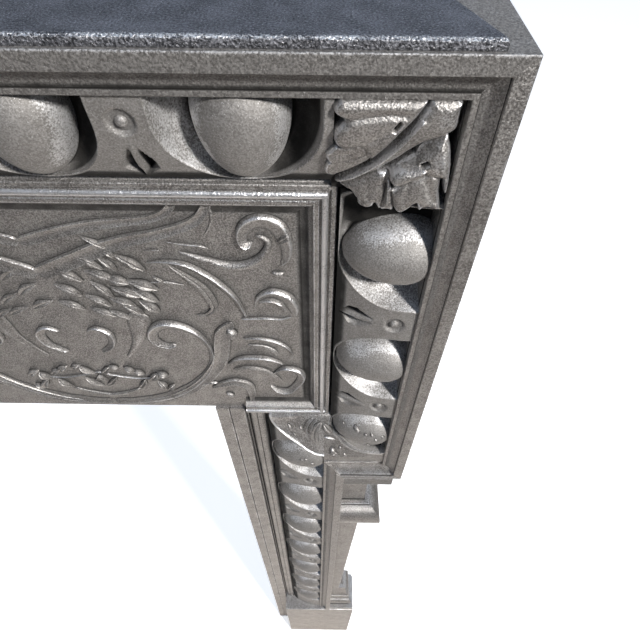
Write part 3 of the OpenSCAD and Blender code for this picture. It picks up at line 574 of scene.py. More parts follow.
def egg_band(name, length, eggs, place, cutter=None, wider=0.0, closer=0.0, shaded=0.0):
    """A strip of eggs. place(x, u, v) puts a point of the strip into the frame. The first
    egg's socket can be wider on its outer side, and the last one's closer to the egg.
    shaded is the painted shade on the far side of every socket, away from the light."""
    borders = [0.0] + [(a + b) / 2 for a, b in zip(eggs, eggs[1:])] + [length]
    points, faces = [], []
    for i, e in enumerate(eggs):
        x0, x1 = borders[i] - e, borders[i + 1] - e
        first, last = i == 0, i == len(eggs) - 1
        p, f = egg_cell(x0, x1, None if first else x0, None if last else x1, wider if first else 0.0,
                        closer if last else 0.0, 1.0 if last and closer else shaded)
        p[:, 0] += e
        base = sum(len(q) for q in points)
        points.append(p)
        faces += [tuple(base + k for k in face) for face in f]
    points = np.vstack(points)
    o = shaped(name, [place(*q[:3]) for q in points], faces, points[:, 3], points[:, 4])
    bpy.ops.mesh.select_mode(type="VERT")
    bpy.ops.mesh.select_all(action="SELECT")
    bpy.ops.mesh.remove_doubles(threshold=0.00002)
    bpy.ops.mesh.select_all(action="SELECT")
    edge = place(0, 0, 0)
    bpy.ops.mesh.bisect(plane_co=edge, plane_no=(place(0, -1, 0) - edge).normalized(), clear_outer=True)
    close_back(o)
    # The floor of the channel behind the band's edge is painted black, a painted shade.
    strip = block("strip", place(0, FACE_W - 0.5, FLOOR_V), place(length, BAND_W, SEAT))
    marks(strip, 0, 1)
    balls = []
    for x in borders[1:-1]:
        bpy.ops.mesh.primitive_uv_sphere_add(segments=16, ring_count=10, radius=BALL_R * MM,
                                             location=place(x, EGG_MID, band_face(EGG_MID) + BALL_SUNK))
        marks(bpy.context.object, 0.5, 0)
        balls.append(bpy.context.object)
    hold(*balls)
    bpy.ops.object.transform_apply(location=True, rotation=True, scale=True)
    hold(o, strip, *balls)
    if cutter is not None:
        cut = o.modifiers.new("fan", "BOOLEAN")
        cut.operation, cut.object, cut.solver = "DIFFERENCE", cutter, "EXACT"
        bpy.ops.object.modifier_apply(modifier="fan")
    bpy.ops.object.join()
    bpy.ops.object.shade_smooth_by_angle(angle=math.radians(38))
    return o


TOP_L, EAR_L, LEG_L = 2 * (HALF - BEAD_IN), 218.0, OPEN_Z - PLINTH_Z
EGG_PITCH, CLOSER = 75.2, 4.5
top_band = egg_band("egg_band_over_frieze", TOP_L, list(np.linspace(30, TOP_L - 30, 12)),
                    lambda x, u, v: at(HALF + TOP_L / 2 - x, FRAME_W + u, v), shaded=0.85)
set_in(top_band, satin_iron, "egg_band_top")
ear_band = egg_band("egg_band_of_ear", EAR_L, [30.2 + i * EGG_PITCH for i in range(3)],
                    lambda x, u, v: at(FRAME_W + u, BEAD_IN + x, v), wider=11.0, closer=CLOSER)
pair(ear_band, "egg_band_ear", satin_iron)


def fan_edge(a):
    """Reach of the ear leaf from the corner of the frieze's frame, at a degrees below level."""
    return 35.5 - 5.0 * math.sin(math.radians(2 * a)) ** 2


def from_crook(r, a):
    """The place (w, h) at reach r and a degrees below level from that corner."""
    return BEAD_IN + r * math.cos(math.radians(a)), CROOK_H + r * math.sin(math.radians(a))


fan_rows = [(*from_crook(fan_edge(a), a), 0, 0) for a in np.linspace(-4, 94, 62)]
fan_rows += [(40, 250, 0, 0), (40, 220, 0, 0)]
fan = moulding("fan", fan_rows, at(0, 0, -5), IN, Vector((0, 60 * MM, 0)), deep=DOWN)
leg_band = egg_band("egg_band_of_leg", LEG_L, [LEG_L - 61 - i * EGG_PITCH for i in range(6, -1, -1)],
                    lambda x, u, v: at(BEAD_IN + u, CROOK_H + x, v), fan)
bpy.data.objects.remove(fan)
pair(leg_band, "egg_band_leg", satin_iron)

# The frieze's frame is a slim moulding: fillet, groove, round bead, fillet and a hollow
# that falls to the ground of the panel. It returns along the foot of each side.
bead_start = section((-3.15, 24, "-"), (-3.15, 21.2, "-"), (-2.05, 18, "w"), (-0.2, 18, "w"),
                     (-0.1, 19.3, "d"), (0.5, 19.3, "-"))
bead_line = [(2.1 + 1.5 * math.cos(t), 18.9 + 1.7 * math.sin(t)) for t in np.radians(range(180, 361, 20))]
bead_end = section((3.8, 19.3, "-"), (4.3, 19.3, "d"), (4.5, 18.4, "w"), (6.7, 18.4, "w"),
                   *hollow((6.7, 18.4), (12.2, 22.5), 6.25), (12.2, 22.5, "d"),
                   (BEAD_W, SEAT, "-"), (0, SEAT, "-"))
# Painted shade darkens the frame's outer slope. The bead's front is brightened by polish and a painted
# highlight, and the hollow darkens towards the field with a painted shadow of the frame.
frame_rows = [(u, v, w, 0.25 if u < -2.6 else 0.45 * d) for u, v, w, d in bead_start]
frame_rows += [(u, v, 1.4 * float(smooth(18.8 - v)), 0.0) for u, v in bead_line]
frame_rows += [(u, v, w * 1.15, max(0.45 * d, 0.75 * float(smooth((u - 8) / 1.5))))
               for u, v, w, d in bead_end]
frame_rows += [(0, 24, 0, 1.0)]
plain_rows = section((0, 18, "w"), (0.3, 18, "-"), (0.3, 19.2, "d"), (0.5, 19.2, "-"))
plain_rows += frame_rows[len(bead_start):-1]
WIDER, LOWER = 1.12, 2.4
# The top run's outer slope is painted darker still, a painted shade.
top_rows = [(-3.15 if u < -3 else LOWER + WIDER * u, min(v, 18.6) if -0.3 < u < 4.6 else v,
             w if u > -1 else 0.5 * w, max(d, 0.35) if u < -2.1 else 0.4 * d if u < 4.6 else d)
            for u, v, w, d in frame_rows]
FIELD_IN, SLIP_IN = BEAD_IN + BEAD_W, 104.0
SIDE_RUN, RUN_ON = 176.0, OUT * 6 * MM
bead_corner, foot_corner = at(BEAD_IN, BEAD_IN, 0), at(BEAD_IN, CROOK_H, 0)
top_corner = bead_corner + DOWN * LOWER * MM
top_mitre = Vector((WIDER, 0, -1))
top_bead = moulding("frieze_frame_top", top_rows, across(bead_corner) - RUN_ON, DOWN,
                    OUT * TOP_L * MM + 2 * RUN_ON,
                    [(top_corner, top_mitre), (across(top_corner), across(top_mitre))])
set_in(top_bead, burnished, "panel_bead_top")
pair(moulding("frieze_frame_side", frame_rows, foot_corner, IN, UP * SIDE_RUN * MM,
              [(top_corner, -top_mitre), (foot_corner, FALL)]), "panel_bead")
pair(moulding("frieze_frame_foot", plain_rows, foot_corner, UP, IN * (SLIP_IN - BEAD_IN) * MM,
              [(foot_corner, FALL)]), "bead_return")

# The inner edge of each leg: two flat strips with a fine quirk, then a dark low ledge.
# It is cast as one long strip and lies against the egg band.
strips = section((-3, 24, "d"), (-3, 21.8, "-"), (0, 18, "w"), (3, 18, "-"), (3, 19.2, "d"),
                 (3.7, 19.2, "d"), (3.7, 18.3, "-"), (6.7, 18.3, "w"), (6.7, 23.5, "d"), (9.5, 23.5, "d"),
                 (9.5, SEAT, "-"), (0, SEAT, "-"), (0, 24, "-"))
strips = [(u, v, w * 0.6, max(d, 0.3 if u < -0.8 else 0)) for u, v, w, d in strips]
pair(moulding("leg_inner_strips", strips, at(BEAD_IN + BAND_W, TOP - PLINTH_Z, 0), IN, UP * LEG_L * MM),
     "leg_bead")

# The slip is a plain angle-shaped casting beside the opening, with one fine groove. Its
# flange turns back along the opening to the wall.
SLIP_W, SLIP_V, SLIP_T, GROOVE_V = 20.5, 20.7, 5.0, 21.7
slip_rows = section((0, 23.5, "d"), (2, 23.5, "d"), (2, SLIP_V, "w"), (11.3, SLIP_V, "w"),
                    (11.3, GROOVE_V, "d"), (12.1, GROOVE_V, "d"), (12.1, SLIP_V, "w"), (SLIP_W, SLIP_V, "w"),
                    (SLIP_W, DEPTH, "-"), (SLIP_W - SLIP_T, DEPTH, "-"), (SLIP_W - SLIP_T, SEAT, "-"),
                    (0, SEAT, "-"))
pair(moulding("slip_beside_opening", slip_rows, at(SLIP_IN, TOP, 0), IN, UP * OPEN_Z * MM), "slip")

# The pilaster beside each leg is a hollow casting: capital, tapered shaft and base. Its
# mouldings run across the front and turn back along the outer side to the wall.
OVER, SHAFT_V, WALL, PAST = 5.5, 14.0, 5.0, 20.0
CAPITAL_IN, BASE_IN, CAPITAL_H, BASE_H = 19.5, 28.8, 98.0, 77.0


def turned(name, profile, h_top, inner, top_darkening=0.0):
    """Front and side runs of one profile, mitred at the outer corner. The profile goes down
    from the top as (how far down, how deep, kind), and top_darkening is how much its top is darkened."""
    rows = section(*profile, (profile[-1][0], SHAFT_V + WALL, "-"), (0, SHAFT_V + WALL, "-"))
    rows = [(u, v, w, max(d, top_darkening if u < 11.5 else 0)) for u, v, w, d in rows]
    mitre = Vector((SHAFT_V, inner - OVER, 0))
    start = at(OVER, h_top, 0)
    front = moulding(name, rows, at(OVER - PAST, h_top, 0), DOWN, IN * (BAND_W - OVER + PAST) * MM,
                     [(start, mitre)])
    side = moulding(name + "_side", rows, at(OVER, h_top, -PAST), DOWN, Vector((0, DEPTH + PAST, 0)) * MM,
                    [(start, -mitre)], IN * ((inner - OVER) / SHAFT_V))
    hold(front, side)
    bpy.ops.object.join()
    return front


capital_face = [(0, 0, "w"), (11, 0, "w"), (11, SHAFT_V, "d"), (79, SHAFT_V, "d"), (79, 9.8, "w"),
                (81, 9.8, "d")]
capital_face += [(81 + 15 * (1 - math.cos(t)), 9.8 * (1 - math.sin(t)), "-")
                 for t in np.radians(range(10, 90, 10))]
capital_face += [(96, 0, "w"), (CAPITAL_H, 0, "w"), (CAPITAL_H, SHAFT_V, "d")]
pair(turned("pilaster_capital", capital_face, TOP - EAR_Z, CAPITAL_IN, 0.45), "capital")

base_face = [(0, SHAFT_V, "-")]
base_face += [(28 * math.sin(t), SHAFT_V - 4.9 * (1 - math.cos(t)), "-")
              for t in np.linspace(0, math.pi / 2, 9)[1:8]]
base_face += [(28, 9.1, "w"), (41, 9.1, "w"), (41, 9.8, "d"), (43, 9.8, "d")]
base_face += [(50.5 - 7.3 * math.cos(t), 7.7 - 3.1 * math.sin(t), "-")
              for t in np.linspace(0.1, math.pi - 0.1, 10)]
base_face += [(58, 7.2, "d"), (68, 7.2, "d"), (68, 1.1, "w"), (BASE_H, 1.1, "w")]
pair(turned("pilaster_base", base_face, TOP - PLINTH_Z - BASE_H, BASE_IN), "pilaster_base")

shaft_top, shaft_foot = TOP - EAR_Z + CAPITAL_H, TOP - PLINTH_Z - BASE_H
shaft_rows = section((0, SHAFT_V, "w"), (60, SHAFT_V, "-"), (60, SHAFT_V + WALL, "-"),
                     (WALL, SHAFT_V + WALL, "-"), (WALL, DEPTH, "-"), (0, DEPTH, "-"))
# The shaft's outer side is darkened with painted shade, and the rest of it a little.
shaft_rows = [(u, v, w, max(d, 0.35 if u < 0.3 and v > SHAFT_V + 1 else 0.1)) for u, v, w, d in shaft_rows]
taper = (IN * (BASE_IN - CAPITAL_IN) + DOWN * (shaft_foot - shaft_top)) * MM
pair(moulding("pilaster_shaft", shaft_rows, at(CAPITAL_IN, shaft_top, 0), IN, taper,
              [(at(BAND_W, shaft_top, 0), IN)]), "shaft")


# Each plinth is a plain cast box, open at the back, with its edges rubbed bright. It
# carries the leg and stands on the hearth.
def pick_faces(o, test):
    """Selects the faces that pass the test, and no others, and stays in edit mode."""
    bpy.ops.object.mode_set(mode="EDIT")
    bpy.ops.mesh.select_mode(type="FACE")
    bpy.ops.mesh.select_all(action="DESELECT")
    bpy.ops.object.mode_set(mode="OBJECT")
    for face in o.data.polygons:
        face.select = test(face)
    bpy.ops.object.mode_set(mode="EDIT")


RIM, LARGE = 1.6, 0.003
plinth = block("plinth_block", at(SLIP_IN, TOP, DEPTH), at(OVER, TOP - PLINTH_Z, 0))
round_edges = plinth.modifiers.new("rubbed_and_lit", "BEVEL")
round_edges.width, round_edges.segments = 0.5 * MM, 2
bpy.ops.object.modifier_apply(modifier="rubbed_and_lit")
marks(plinth, 1, 0)
pick_faces(plinth, lambda face: face.area > LARGE)
bpy.ops.mesh.inset(thickness=RIM * MM, use_individual=True)
bpy.ops.object.mode_set(mode="OBJECT")
for face in plinth.data.polygons:
    for i in face.vertices if face.select else ():
        plinth.data.attributes["wear_and_sheen"].data[i].value = 0.0
pick_faces(plinth, lambda face: face.area > LARGE and face.normal.y > 0.9)
bpy.ops.mesh.inset(thickness=(WALL - RIM) * MM, use_individual=True)
bpy.ops.mesh.extrude_region_move(TRANSFORM_OT_translate={"value": (0, (WALL - DEPTH) * MM, 0)})
bpy.ops.object.mode_set(mode="OBJECT")
bpy.ops.object.shade_smooth_by_angle(angle=SHARP)
pair(plinth, "plinth")

# Carved leaves and scrolls are cast in one with their ground. Each stroke of the carving
# is a tapered ribbon with its own section, laid on the surface under it. It is given by
# rows of (w, h, width, height) along its middle, in mm.
ROUND_END = 0.3
PROFILES = {
    # across, height, polish with painted highlights on the crests, and blacking with painted shade at the
    # feet, between the two sides, which go down into the ground
    "round": [(-0.93, 0.38, 0, 0.5), (-0.72, 0.7, 0, 0.1), (-0.4, 0.92, 0.3, 0), (0, 1, 0.8, 0),
              (0.4, 0.92, 0.8, 0), (0.72, 0.7, 0.3, 0.1), (0.93, 0.38, 0, 0.5)],
    "gutter": [(-0.94, 0.7, 0.3, 0.2), (-0.84, 1, 1, 0), (-0.7, 0.93, 0.5, 0), (-0.35, 0.62, 0, 0.1),
               (0, 0.5, 0, 0.3), (0.35, 0.62, 0, 0.1), (0.7, 0.93, 0.5, 0), (0.84, 1, 1, 0),
               (0.94, 0.7, 0.3, 0.2)],
    "crest": [(-0.9, 0.22, 0, 0.6), (-0.5, 0.35, 0, 0.25), (0, 0.55, 0, 0), (0.4, 0.85, 0.7, 0),
              (0.66, 1, 1.3, 0), (0.85, 0.8, 1, 0), (0.96, 0.35, 0, 0.4)],
    "leaf": [(-0.95, 0.55, 0, 0.4), (-0.82, 0.85, 0.5, 0), (-0.5, 0.9, 0.15, 0), (-0.12, 0.72, 0, 0.25),
             (0, 0.6, 0, 0.6), (0.12, 0.72, 0, 0.25), (0.5, 0.95, 0.25, 0), (0.82, 0.95, 0.7, 0),
             (0.95, 0.6, 0, 0.3)],
}


def smooth_path(points, step):
    """Rows of (w, h, width, height) on a smooth curve through the given rows."""
    p = np.array(points, float)
    ends = np.vstack([2 * p[0] - p[1], p, 2 * p[-1] - p[-2]])
    out = []
    for i in range(1, len(ends) - 2):
        a, b, c, d = ends[i - 1:i + 3]
        n = max(2, int(np.hypot(*(c - b)[:2]) / step))
        for t in np.arange(n) / n:
            out.append(0.5 * (2 * b + (c - a) * t + (2 * a - 5 * b + 4 * c - d) * t * t
                              + (3 * b - a - 3 * c + d) * t ** 3))
    out.append(p[-1])
    out = np.array(out)
    out[:, 2:] = np.maximum(out[:, 2:], 0.05)
    return out


def stroke(kind, points, surface, step):
    """Points (w, h, v), marks and faces of one closed stroke."""
    path = smooth_path(points, step)
    n = len(path)
    way = np.gradient(path[:, :2], axis=0)
    way /= np.maximum(np.hypot(way[:, 0], way[:, 1]), 1e-9)[:, None]
    side = np.column_stack([-way[:, 1], way[:, 0]])
    along = np.concatenate([[0], np.cumsum(np.hypot(*np.diff(path[:, :2], axis=0).T))])
    width, height = path[:, 2].copy(), path[:, 3].copy()
    for end, reach in ((0, along), (-1, along[-1] - along)):
        r = max(width[end] / 2, ROUND_END)
        shape = np.sqrt(np.clip(1 - (1 - np.clip(reach / r, 0, 1)) ** 2, 0.0025, 1))
        width *= shape
        height *= 0.35 + 0.65 * shape
    # The two feet of every stroke are darkened with blacking and painted shade where they meet the ground.
    left, right = [[(side, lift, 0, 1) for lift in (-0.5, -0.1)] for side in (-1, 1)]
    rows = left + PROFILES[kind] + right[::-1]
    verts, tags = [], []
    for i in range(n):
        for across, lift, wear_and_sheen, blacking_and_shade in rows:
            w, h = path[i, :2] + side[i] * across * width[i] / 2
            verts.append((w, h, surface(w, h) - (lift * height[i] if lift > -0.4 else -1.0)))
            tags.append((wear_and_sheen, blacking_and_shade))
    m = len(rows)
    faces = [(i * m + j, i * m + (j + 1) % m, (i + 1) * m + (j + 1) % m, (i + 1) * m + j)
             for i in range(n - 1) for j in range(m)]
    faces += [tuple(range(m))[::-1], tuple((n - 1) * m + j for j in range(m))]
    return verts, tags, faces


def carving(name, strokes, surface, turns=(lambda w: w,), step=0.8):
    """One casting's strokes, laid once for every function in turns, which places w."""
    verts, tags, faces = [], [], []
    for kind, points in strokes:
        v, t, f = stroke(kind, points, surface, step)
        for turn in turns:
            base = len(verts)
            verts += [at(turn(w), h, d) for w, h, d in v]
            tags += t
            faces += [tuple(base + k for k in face) for face in f]
    o = shaped(name, verts, faces, *np.array(tags).T)
    face_outwards()
    bpy.ops.object.mode_set(mode="OBJECT")
    bpy.ops.object.shade_smooth_by_angle(angle=math.radians(50))
    return o


# The frieze panel: a flat sand-cast ground with scrolling foliage. The right end is as the
# photo shows it; the same unit is turned and repeated towards the middle.
GROUND = 22.5
field_x = [FIELD_IN - 1, FIELD_IN + 0.4, FIELD_IN + 2.4, FIELD_IN + 6]
field_x += [2 * HALF - x for x in field_x[::-1]]
# The field is painted dark along its side edges, a painted shadow of the frame.
field = [(x, GROUND, 0, d) for x, d in zip(field_x, [1, 0.8, 0.3, 0, 0, 0.3, 0.8, 1])]
field += [(field_x[-1], SEAT, 0, 0), (field_x[0], SEAT, 0, 0)]
panel = moulding("frieze_ground", field, at(0, FIELD_IN - 1, 0), IN, DOWN * (CROOK_H - FIELD_IN + 1) * MM)
bpy.ops.object.mode_set(mode="EDIT")
for h in (FIELD_IN + 0.6, FIELD_IN + 3.4, FIELD_IN + 5.5):
    bpy.ops.mesh.select_all(action="SELECT")
    bpy.ops.mesh.bisect(plane_co=at(0, h, 0), plane_no=DOWN)
bpy.ops.object.mode_set(mode="OBJECT")
# A painted shadow of the frame's top run darkens the top edge of the field.
for vertex, black in zip(panel.data.vertices, panel.data.attributes["blacking_and_shade"].data):
    low = TOP - FIELD_IN - vertex.co.z / MM
    black.value = max(black.value, 0.85 if low < 3.6 else 0.1 if low < 5 else 0)
scrolls = [
    ("gutter", [
        (101.5, 62, 4, 0.2), (104.8, 69, 4.4, 1.2), (109, 74.5, 4.8, 1.7), (117, 78.8, 5, 1.8),
        (128, 82.5, 5.5, 2), (141, 86, 6.5, 2), (154, 91, 8, 2), (168, 98, 9, 2), (187, 107, 9, 2)]),
    ("gutter", [
        (115, 62, 3.5, 0.2), (118.5, 68.6, 3.8, 1.1), (124, 72.8, 4, 1.4), (132, 75, 4, 1.5),
        (143, 76.5, 4.5, 1.5), (155, 78.5, 5.5, 1.5), (170, 82.5, 6, 1.5), (187, 88, 6, 1.5)]),
    ("round", [(103.5, 67, 1, 0.5), (102.5, 72, 1.4, 0.7), (104, 78, 1.2, 0.6), (107, 83, 0.8, 0.4)]),
    ("crest", [(125, 87, 0.6, 0.5), (117, 88.6, 1.8, 1.2), (110, 89.4, 2, 1.2), (106.5, 91, 0.6, 0.5)]),
    ("round", [
        (120, 92.5, 0.8, 0.8), (114.3, 94.6, 2.4, 1.8), (107.4, 97.2, 3.6, 2.6), (99.8, 99.6, 4.4, 3),
        (92.6, 99.6, 4.8, 3.2), (86, 96.4, 4.6, 3), (81.8, 91.3, 4, 2.6), (80.6, 86.2, 3, 2.2),
        (83, 83.2, 1.8, 1.8), (86, 82.8, 0.8, 1.2)]),
    ("crest", [
        (87.4, 86.4, 2.4, 2.2), (90, 87.4, 3.6, 3), (91.4, 84.4, 4.6, 3.2), (90.6, 79.6, 6, 3.2),
        (87, 76, 7.4, 3), (82, 74.8, 8, 2.8), (77, 77.2, 8.4, 2.8), (74.4, 82.2, 7.6, 3),
        (72.8, 88.5, 6, 2.6), (73.4, 95, 4, 2), (76, 100, 1.6, 1)]),
    ("leaf", [(76.5, 86, 1, 1.4), (73.6, 83.4, 3.6, 3.8), (70.6, 80.6, 1.4, 2.6)]),
    ("round", [(80.5, 104.5, 2, 1.4), (77, 105.5, 3, 1.8), (74.5, 104.5, 2, 1.2)]),
    ("crest", [
        (136, 99.5, 0.8, 1), (127, 98.5, 2.6, 2.4), (118, 100.5, 4, 3), (110, 107, 4.6, 3.2),
        (104, 114.5, 4.8, 3.2), (99.5, 122, 4, 3), (97, 130, 3, 2.6), (95.5, 136, 2, 2)]),
    ("crest", [
        (98, 138, 1.6, 1.4), (91, 137.6, 2, 1.6), (85, 137.4, 2.4, 1.6), (78, 138, 2, 1.4),
        (72.5, 136, 1, 1)]),
    ("leaf", [
        (126, 101, 1, 1), (119, 108, 3.4, 2), (114, 114, 4.4, 2.4), (111, 121, 4.6, 2.4),
        (110, 129, 3.8, 2.2), (114.5, 134.5, 2.2, 1.4), (120, 135.5, 0.6, 0.8)]),
    ("crest", [
        (89.5, 128, 1.2, 1.4), (87, 121.5, 4, 2.6), (81, 118, 6.4, 3.2), (75, 121, 8, 3.4),
        (71.5, 127.5, 7, 3.2), (71, 134, 3, 2)]),
    ("round", [(88, 123.5, 1, 2.4), (82, 122, 1.6, 3.2), (77, 124.5, 1.6, 3.4), (74.5, 130, 1, 3)]),
    ("round", [(139, 112.5, 1, 0.8), (130, 112, 1.6, 1), (122, 113.8, 0.8, 0.6)]),
    ("crest", [(135.1, 92.3, 0.6, 0.8), (128.4, 92, 1, 1)]),
    ("crest", [
        (135.5, 160.5, 2.4, 1.6), (140.5, 161, 4, 2), (145.5, 156.5, 5, 2.6), (145, 149, 6.2, 3.2),
        (138.5, 143.5, 7.6, 3.6), (129.5, 144.8, 7, 3.4), (122.5, 151, 5, 3), (118.5, 160, 3.4, 2.4),
        (117.8, 171, 3, 2.2), (121, 182, 3.4, 2), (127.5, 193, 4.6, 2), (138, 204.5, 6, 2),
        (152, 214, 7, 2), (170, 219.5, 6, 1.8), (187, 221, 5, 1.6)]),
    ("gutter", [
        (103, 141, 4, 1.6), (108.5, 149, 8.5, 2.2), (110.5, 159, 9.5, 2.2), (112.5, 170, 9, 2),
        (117.5, 182, 8.5, 2), (125.5, 194.5, 8, 1.8), (137, 206.5, 7, 1.6), (152, 216.5, 6, 1.4),
        (170, 222, 4, 1.2)]),
    ("round", [(106, 145.5, 4, 3), (103.5, 149.5, 5.5, 3.6), (105, 153.5, 3, 2.6)]),
    ("crest", [
        (99, 154.4, 1, 1.2), (90, 153.9, 2.4, 2), (82, 156.4, 3, 2.2), (76, 162, 3, 2), (73, 169, 1, 1)]),
    ("round", [(97, 160, 1, 0.8), (88, 161, 2, 1.2), (83, 165.5, 3.4, 1.6), (81.5, 169.5, 2, 1)]),
    ("crest", [
        (110, 178.5, 1.6, 1.6), (103.5, 172.6, 3, 2.8), (96, 171, 3.6, 3.2), (86.5, 172, 3.6, 3),
        (78.5, 177.5, 1.6, 1.6)]),
    ("leaf", [
        (108, 184, 1.4, 1), (99, 181.5, 3, 1.6), (90, 184, 3.4, 1.6), (84, 190, 2.6, 1.4),
        (80, 196, 1, 0.8)]),
    ("crest", [
        (84.5, 187, 1.6, 1.6), (78, 181.8, 4.4, 3), (71, 184, 6, 3.4), (68.8, 190.5, 5.4, 3),
        (71.5, 198, 4.4, 2.6), (76.5, 204.8, 4.4, 2.8), (83, 204.5, 3.6, 2.4), (87, 200.5, 1.4, 1.2)]),
    ("round", [(131, 202.5, 1, 0.8), (124, 198.2, 3, 2), (118.5, 198, 1.6, 1.4)]),
    ("gutter", [
        (123, 204, 1.6, 1), (116, 198.6, 4, 2), (108, 196, 6, 2.2), (101, 199.5, 6.4, 2.2),
        (99.2, 207, 5, 2), (100, 216, 3, 1.6), (101, 225, 2, 1.2)]),
    ("round", [(115.5, 209.5, 2, 1.6), (112.5, 211.5, 3.6, 2.2), (110.5, 213.5, 1.6, 1.4)]),
    ("round", [
        (148, 134, 13, 1.4), (151, 143, 12, 1.6), (154, 154, 7.6, 1.5), (159, 164, 4, 1.2),
        (165, 173, 2, 0.8)]),
    ("crest", [
        (180, 150, 2, 1.6), (174, 147.5, 4, 2.4), (169, 152, 5, 2.8), (170.5, 161, 4, 2.4),
        (178, 168, 2, 1.4)]),
    ("crest", [
        (188.1, 187.8, 1.6, 1.2), (177.8, 191.6, 2, 1.4), (164.9, 194.4, 2, 1.4), (153.3, 193, 1.2, 1)]),
    ("round", [(190, 214, 3, 1.4), (177, 211, 3, 1.4), (167, 206, 2, 1)]),
]
for w0, h0, w1, h1, width, lift in [  # small leaves, from end to end
        (160, 84.5, 150.5, 91.5, 2.6, 2.4), (154, 91.5, 148.5, 97.5, 2.6, 2.4),
        (149, 94.5, 137, 104.5, 4.4, 3.4), (157, 96, 150, 105, 3.4, 2.8), (167, 96, 156, 104, 4, 2.6),
        (166, 104, 152, 111, 4.6, 3), (158, 109, 146.5, 112.5, 5.4, 3.6), (148, 110.5, 134, 116.5, 5, 4),
        (165, 112, 157, 123, 4, 3), (157, 115.5, 143, 122, 4.6, 3.6), (147, 116.5, 136, 125.5, 4.6, 3.8),
        (171, 121, 160, 129.5, 4, 2.8), (160, 123, 148, 128.5, 4.4, 3.2),
        (156, 126.5, 145.5, 135, 4.4, 3.4), (146, 124, 137.2, 133.5, 5, 4),
        (135.5, 108.5, 130.5, 114.5, 2, 1.4), (172, 131, 160, 137, 4, 2.6),
        (163, 132.5, 153, 139.5, 3.6, 2.6), (180, 104, 168, 112, 5, 2.8), (183, 114, 172, 122, 5, 2.8),
        (186, 126, 174, 132, 5, 2.6), (158.5, 195.5, 152.5, 188.5, 5, 4.2),
        (153, 187.5, 146.6, 191.5, 4.4, 4), (154.5, 197, 150.6, 205.6, 4.6, 3.8),
        (151, 206, 145, 201, 3.6, 3.4), (167.5, 205.5, 161, 195.5, 4, 3.4),
        (186.5, 203.4, 177.6, 193.6, 3.6, 3), (190.5, 197, 187, 191, 3, 2.8),
        (185.6, 189.8, 178, 182, 4, 3.4), (179, 181.8, 173.4, 184, 3, 2.8),
        (171, 183, 165.4, 187.4, 4, 3.4), (166.4, 185.6, 160, 190.6, 3.6, 3.2)]:
    mid_w, mid_h = (w0 + w1) / 2 - 1.0, (h0 + h1) / 2 - 0.8
    scrolls.append(("leaf", [(w0, h0, 0.8, lift * 0.3), (mid_w, mid_h, width, lift),
                             (w1, h1, 0.6, lift * 0.45)]))
PITCH, END, MIDDLE_H = 120.0, 67.0, 147.0
turns = (lambda w: w, lambda w: 2 * (END + PITCH) - w, lambda w: w + 2 * PITCH)
foliage = carving("frieze_foliage", scrolls, lambda w, h: GROUND, turns, step=1.0)
petal = ((4, 3, 2), (16, 13, 3.4), (34, 9, 3), (46, 1.4, 1.4))
rosette = [("leaf", [(HALF - r * math.cos(a), MIDDLE_H - r * math.sin(a), width, lift)
                     for r, width, lift in petal]) for a in np.radians(range(0, 360, 30))]
rosette += [("round", [(HALF + 4, MIDDLE_H, 8, 4), (HALF, MIDDLE_H, 8, 4.4), (HALF - 4, MIDDLE_H, 8, 4)])]
middle = carving("frieze_rosette", rosette, lambda w, h: GROUND)
for piece in (panel, foliage, twin(foliage), middle):
    set_in(piece, burnished, "frieze_panel")


# The corner leaf is an acanthus spray, cast in one block over the mitre of the bands. A
# curved rib divides it; rounded lobes overlap on both sides, the last of them curled.
def closed_curve(points, n=5):
    """A smooth closed outline through the points."""
    p = np.array(points, float)
    a, b, c, d = [np.roll(p, k, axis=0)[:, None] for k in (1, 0, -1, -2)]
    t = (np.arange(n) / n)[None, :, None]
    q = 0.5 * (2 * b + (c - a) * t + (2 * a - 5 * b + 4 * c - d) * t * t + (3 * b - a - 3 * c + d) * t ** 3)
    return q.reshape(-1, 2)


def to_line(w, h, line, closed):
    """Distance from every place of a grid to a line, and whether it lies inside."""
    p = np.array(line, float)
    q = np.roll(p, -1, axis=0) if closed else p[1:]
    p = p if closed else p[:-1]
    best, inside = np.full(w.shape, 1e9), np.zeros(w.shape, bool)
    for (pw, ph), (qw, qh) in zip(p, q):
        dw, dh = qw - pw, qh - ph
        t = np.clip(((w - pw) * dw + (h - ph) * dh) / max(dw * dw + dh * dh, 1e-9), 0, 1)
        best = np.minimum(best, np.hypot(w - pw - t * dw, h - ph - t * dh))
        if abs(dh) > 1e-9:
            inside ^= ((ph > h) != (qh > h)) & (w < pw + (h - ph) / dh * dw)
    return best, inside


def blurred(f, cells):
    """The field averaged over about so many cells each way."""
    k = np.exp(-0.5 * (np.arange(-3 * cells, 3 * cells + 1) / cells) ** 2)
    k /= k.sum()
    f = np.pad(f, 3 * cells, mode="edge")
    f = np.apply_along_axis(lambda r: np.convolve(r, k, "valid"), 0, f)
    return np.apply_along_axis(lambda r: np.convolve(r, k, "valid"), 1, f)


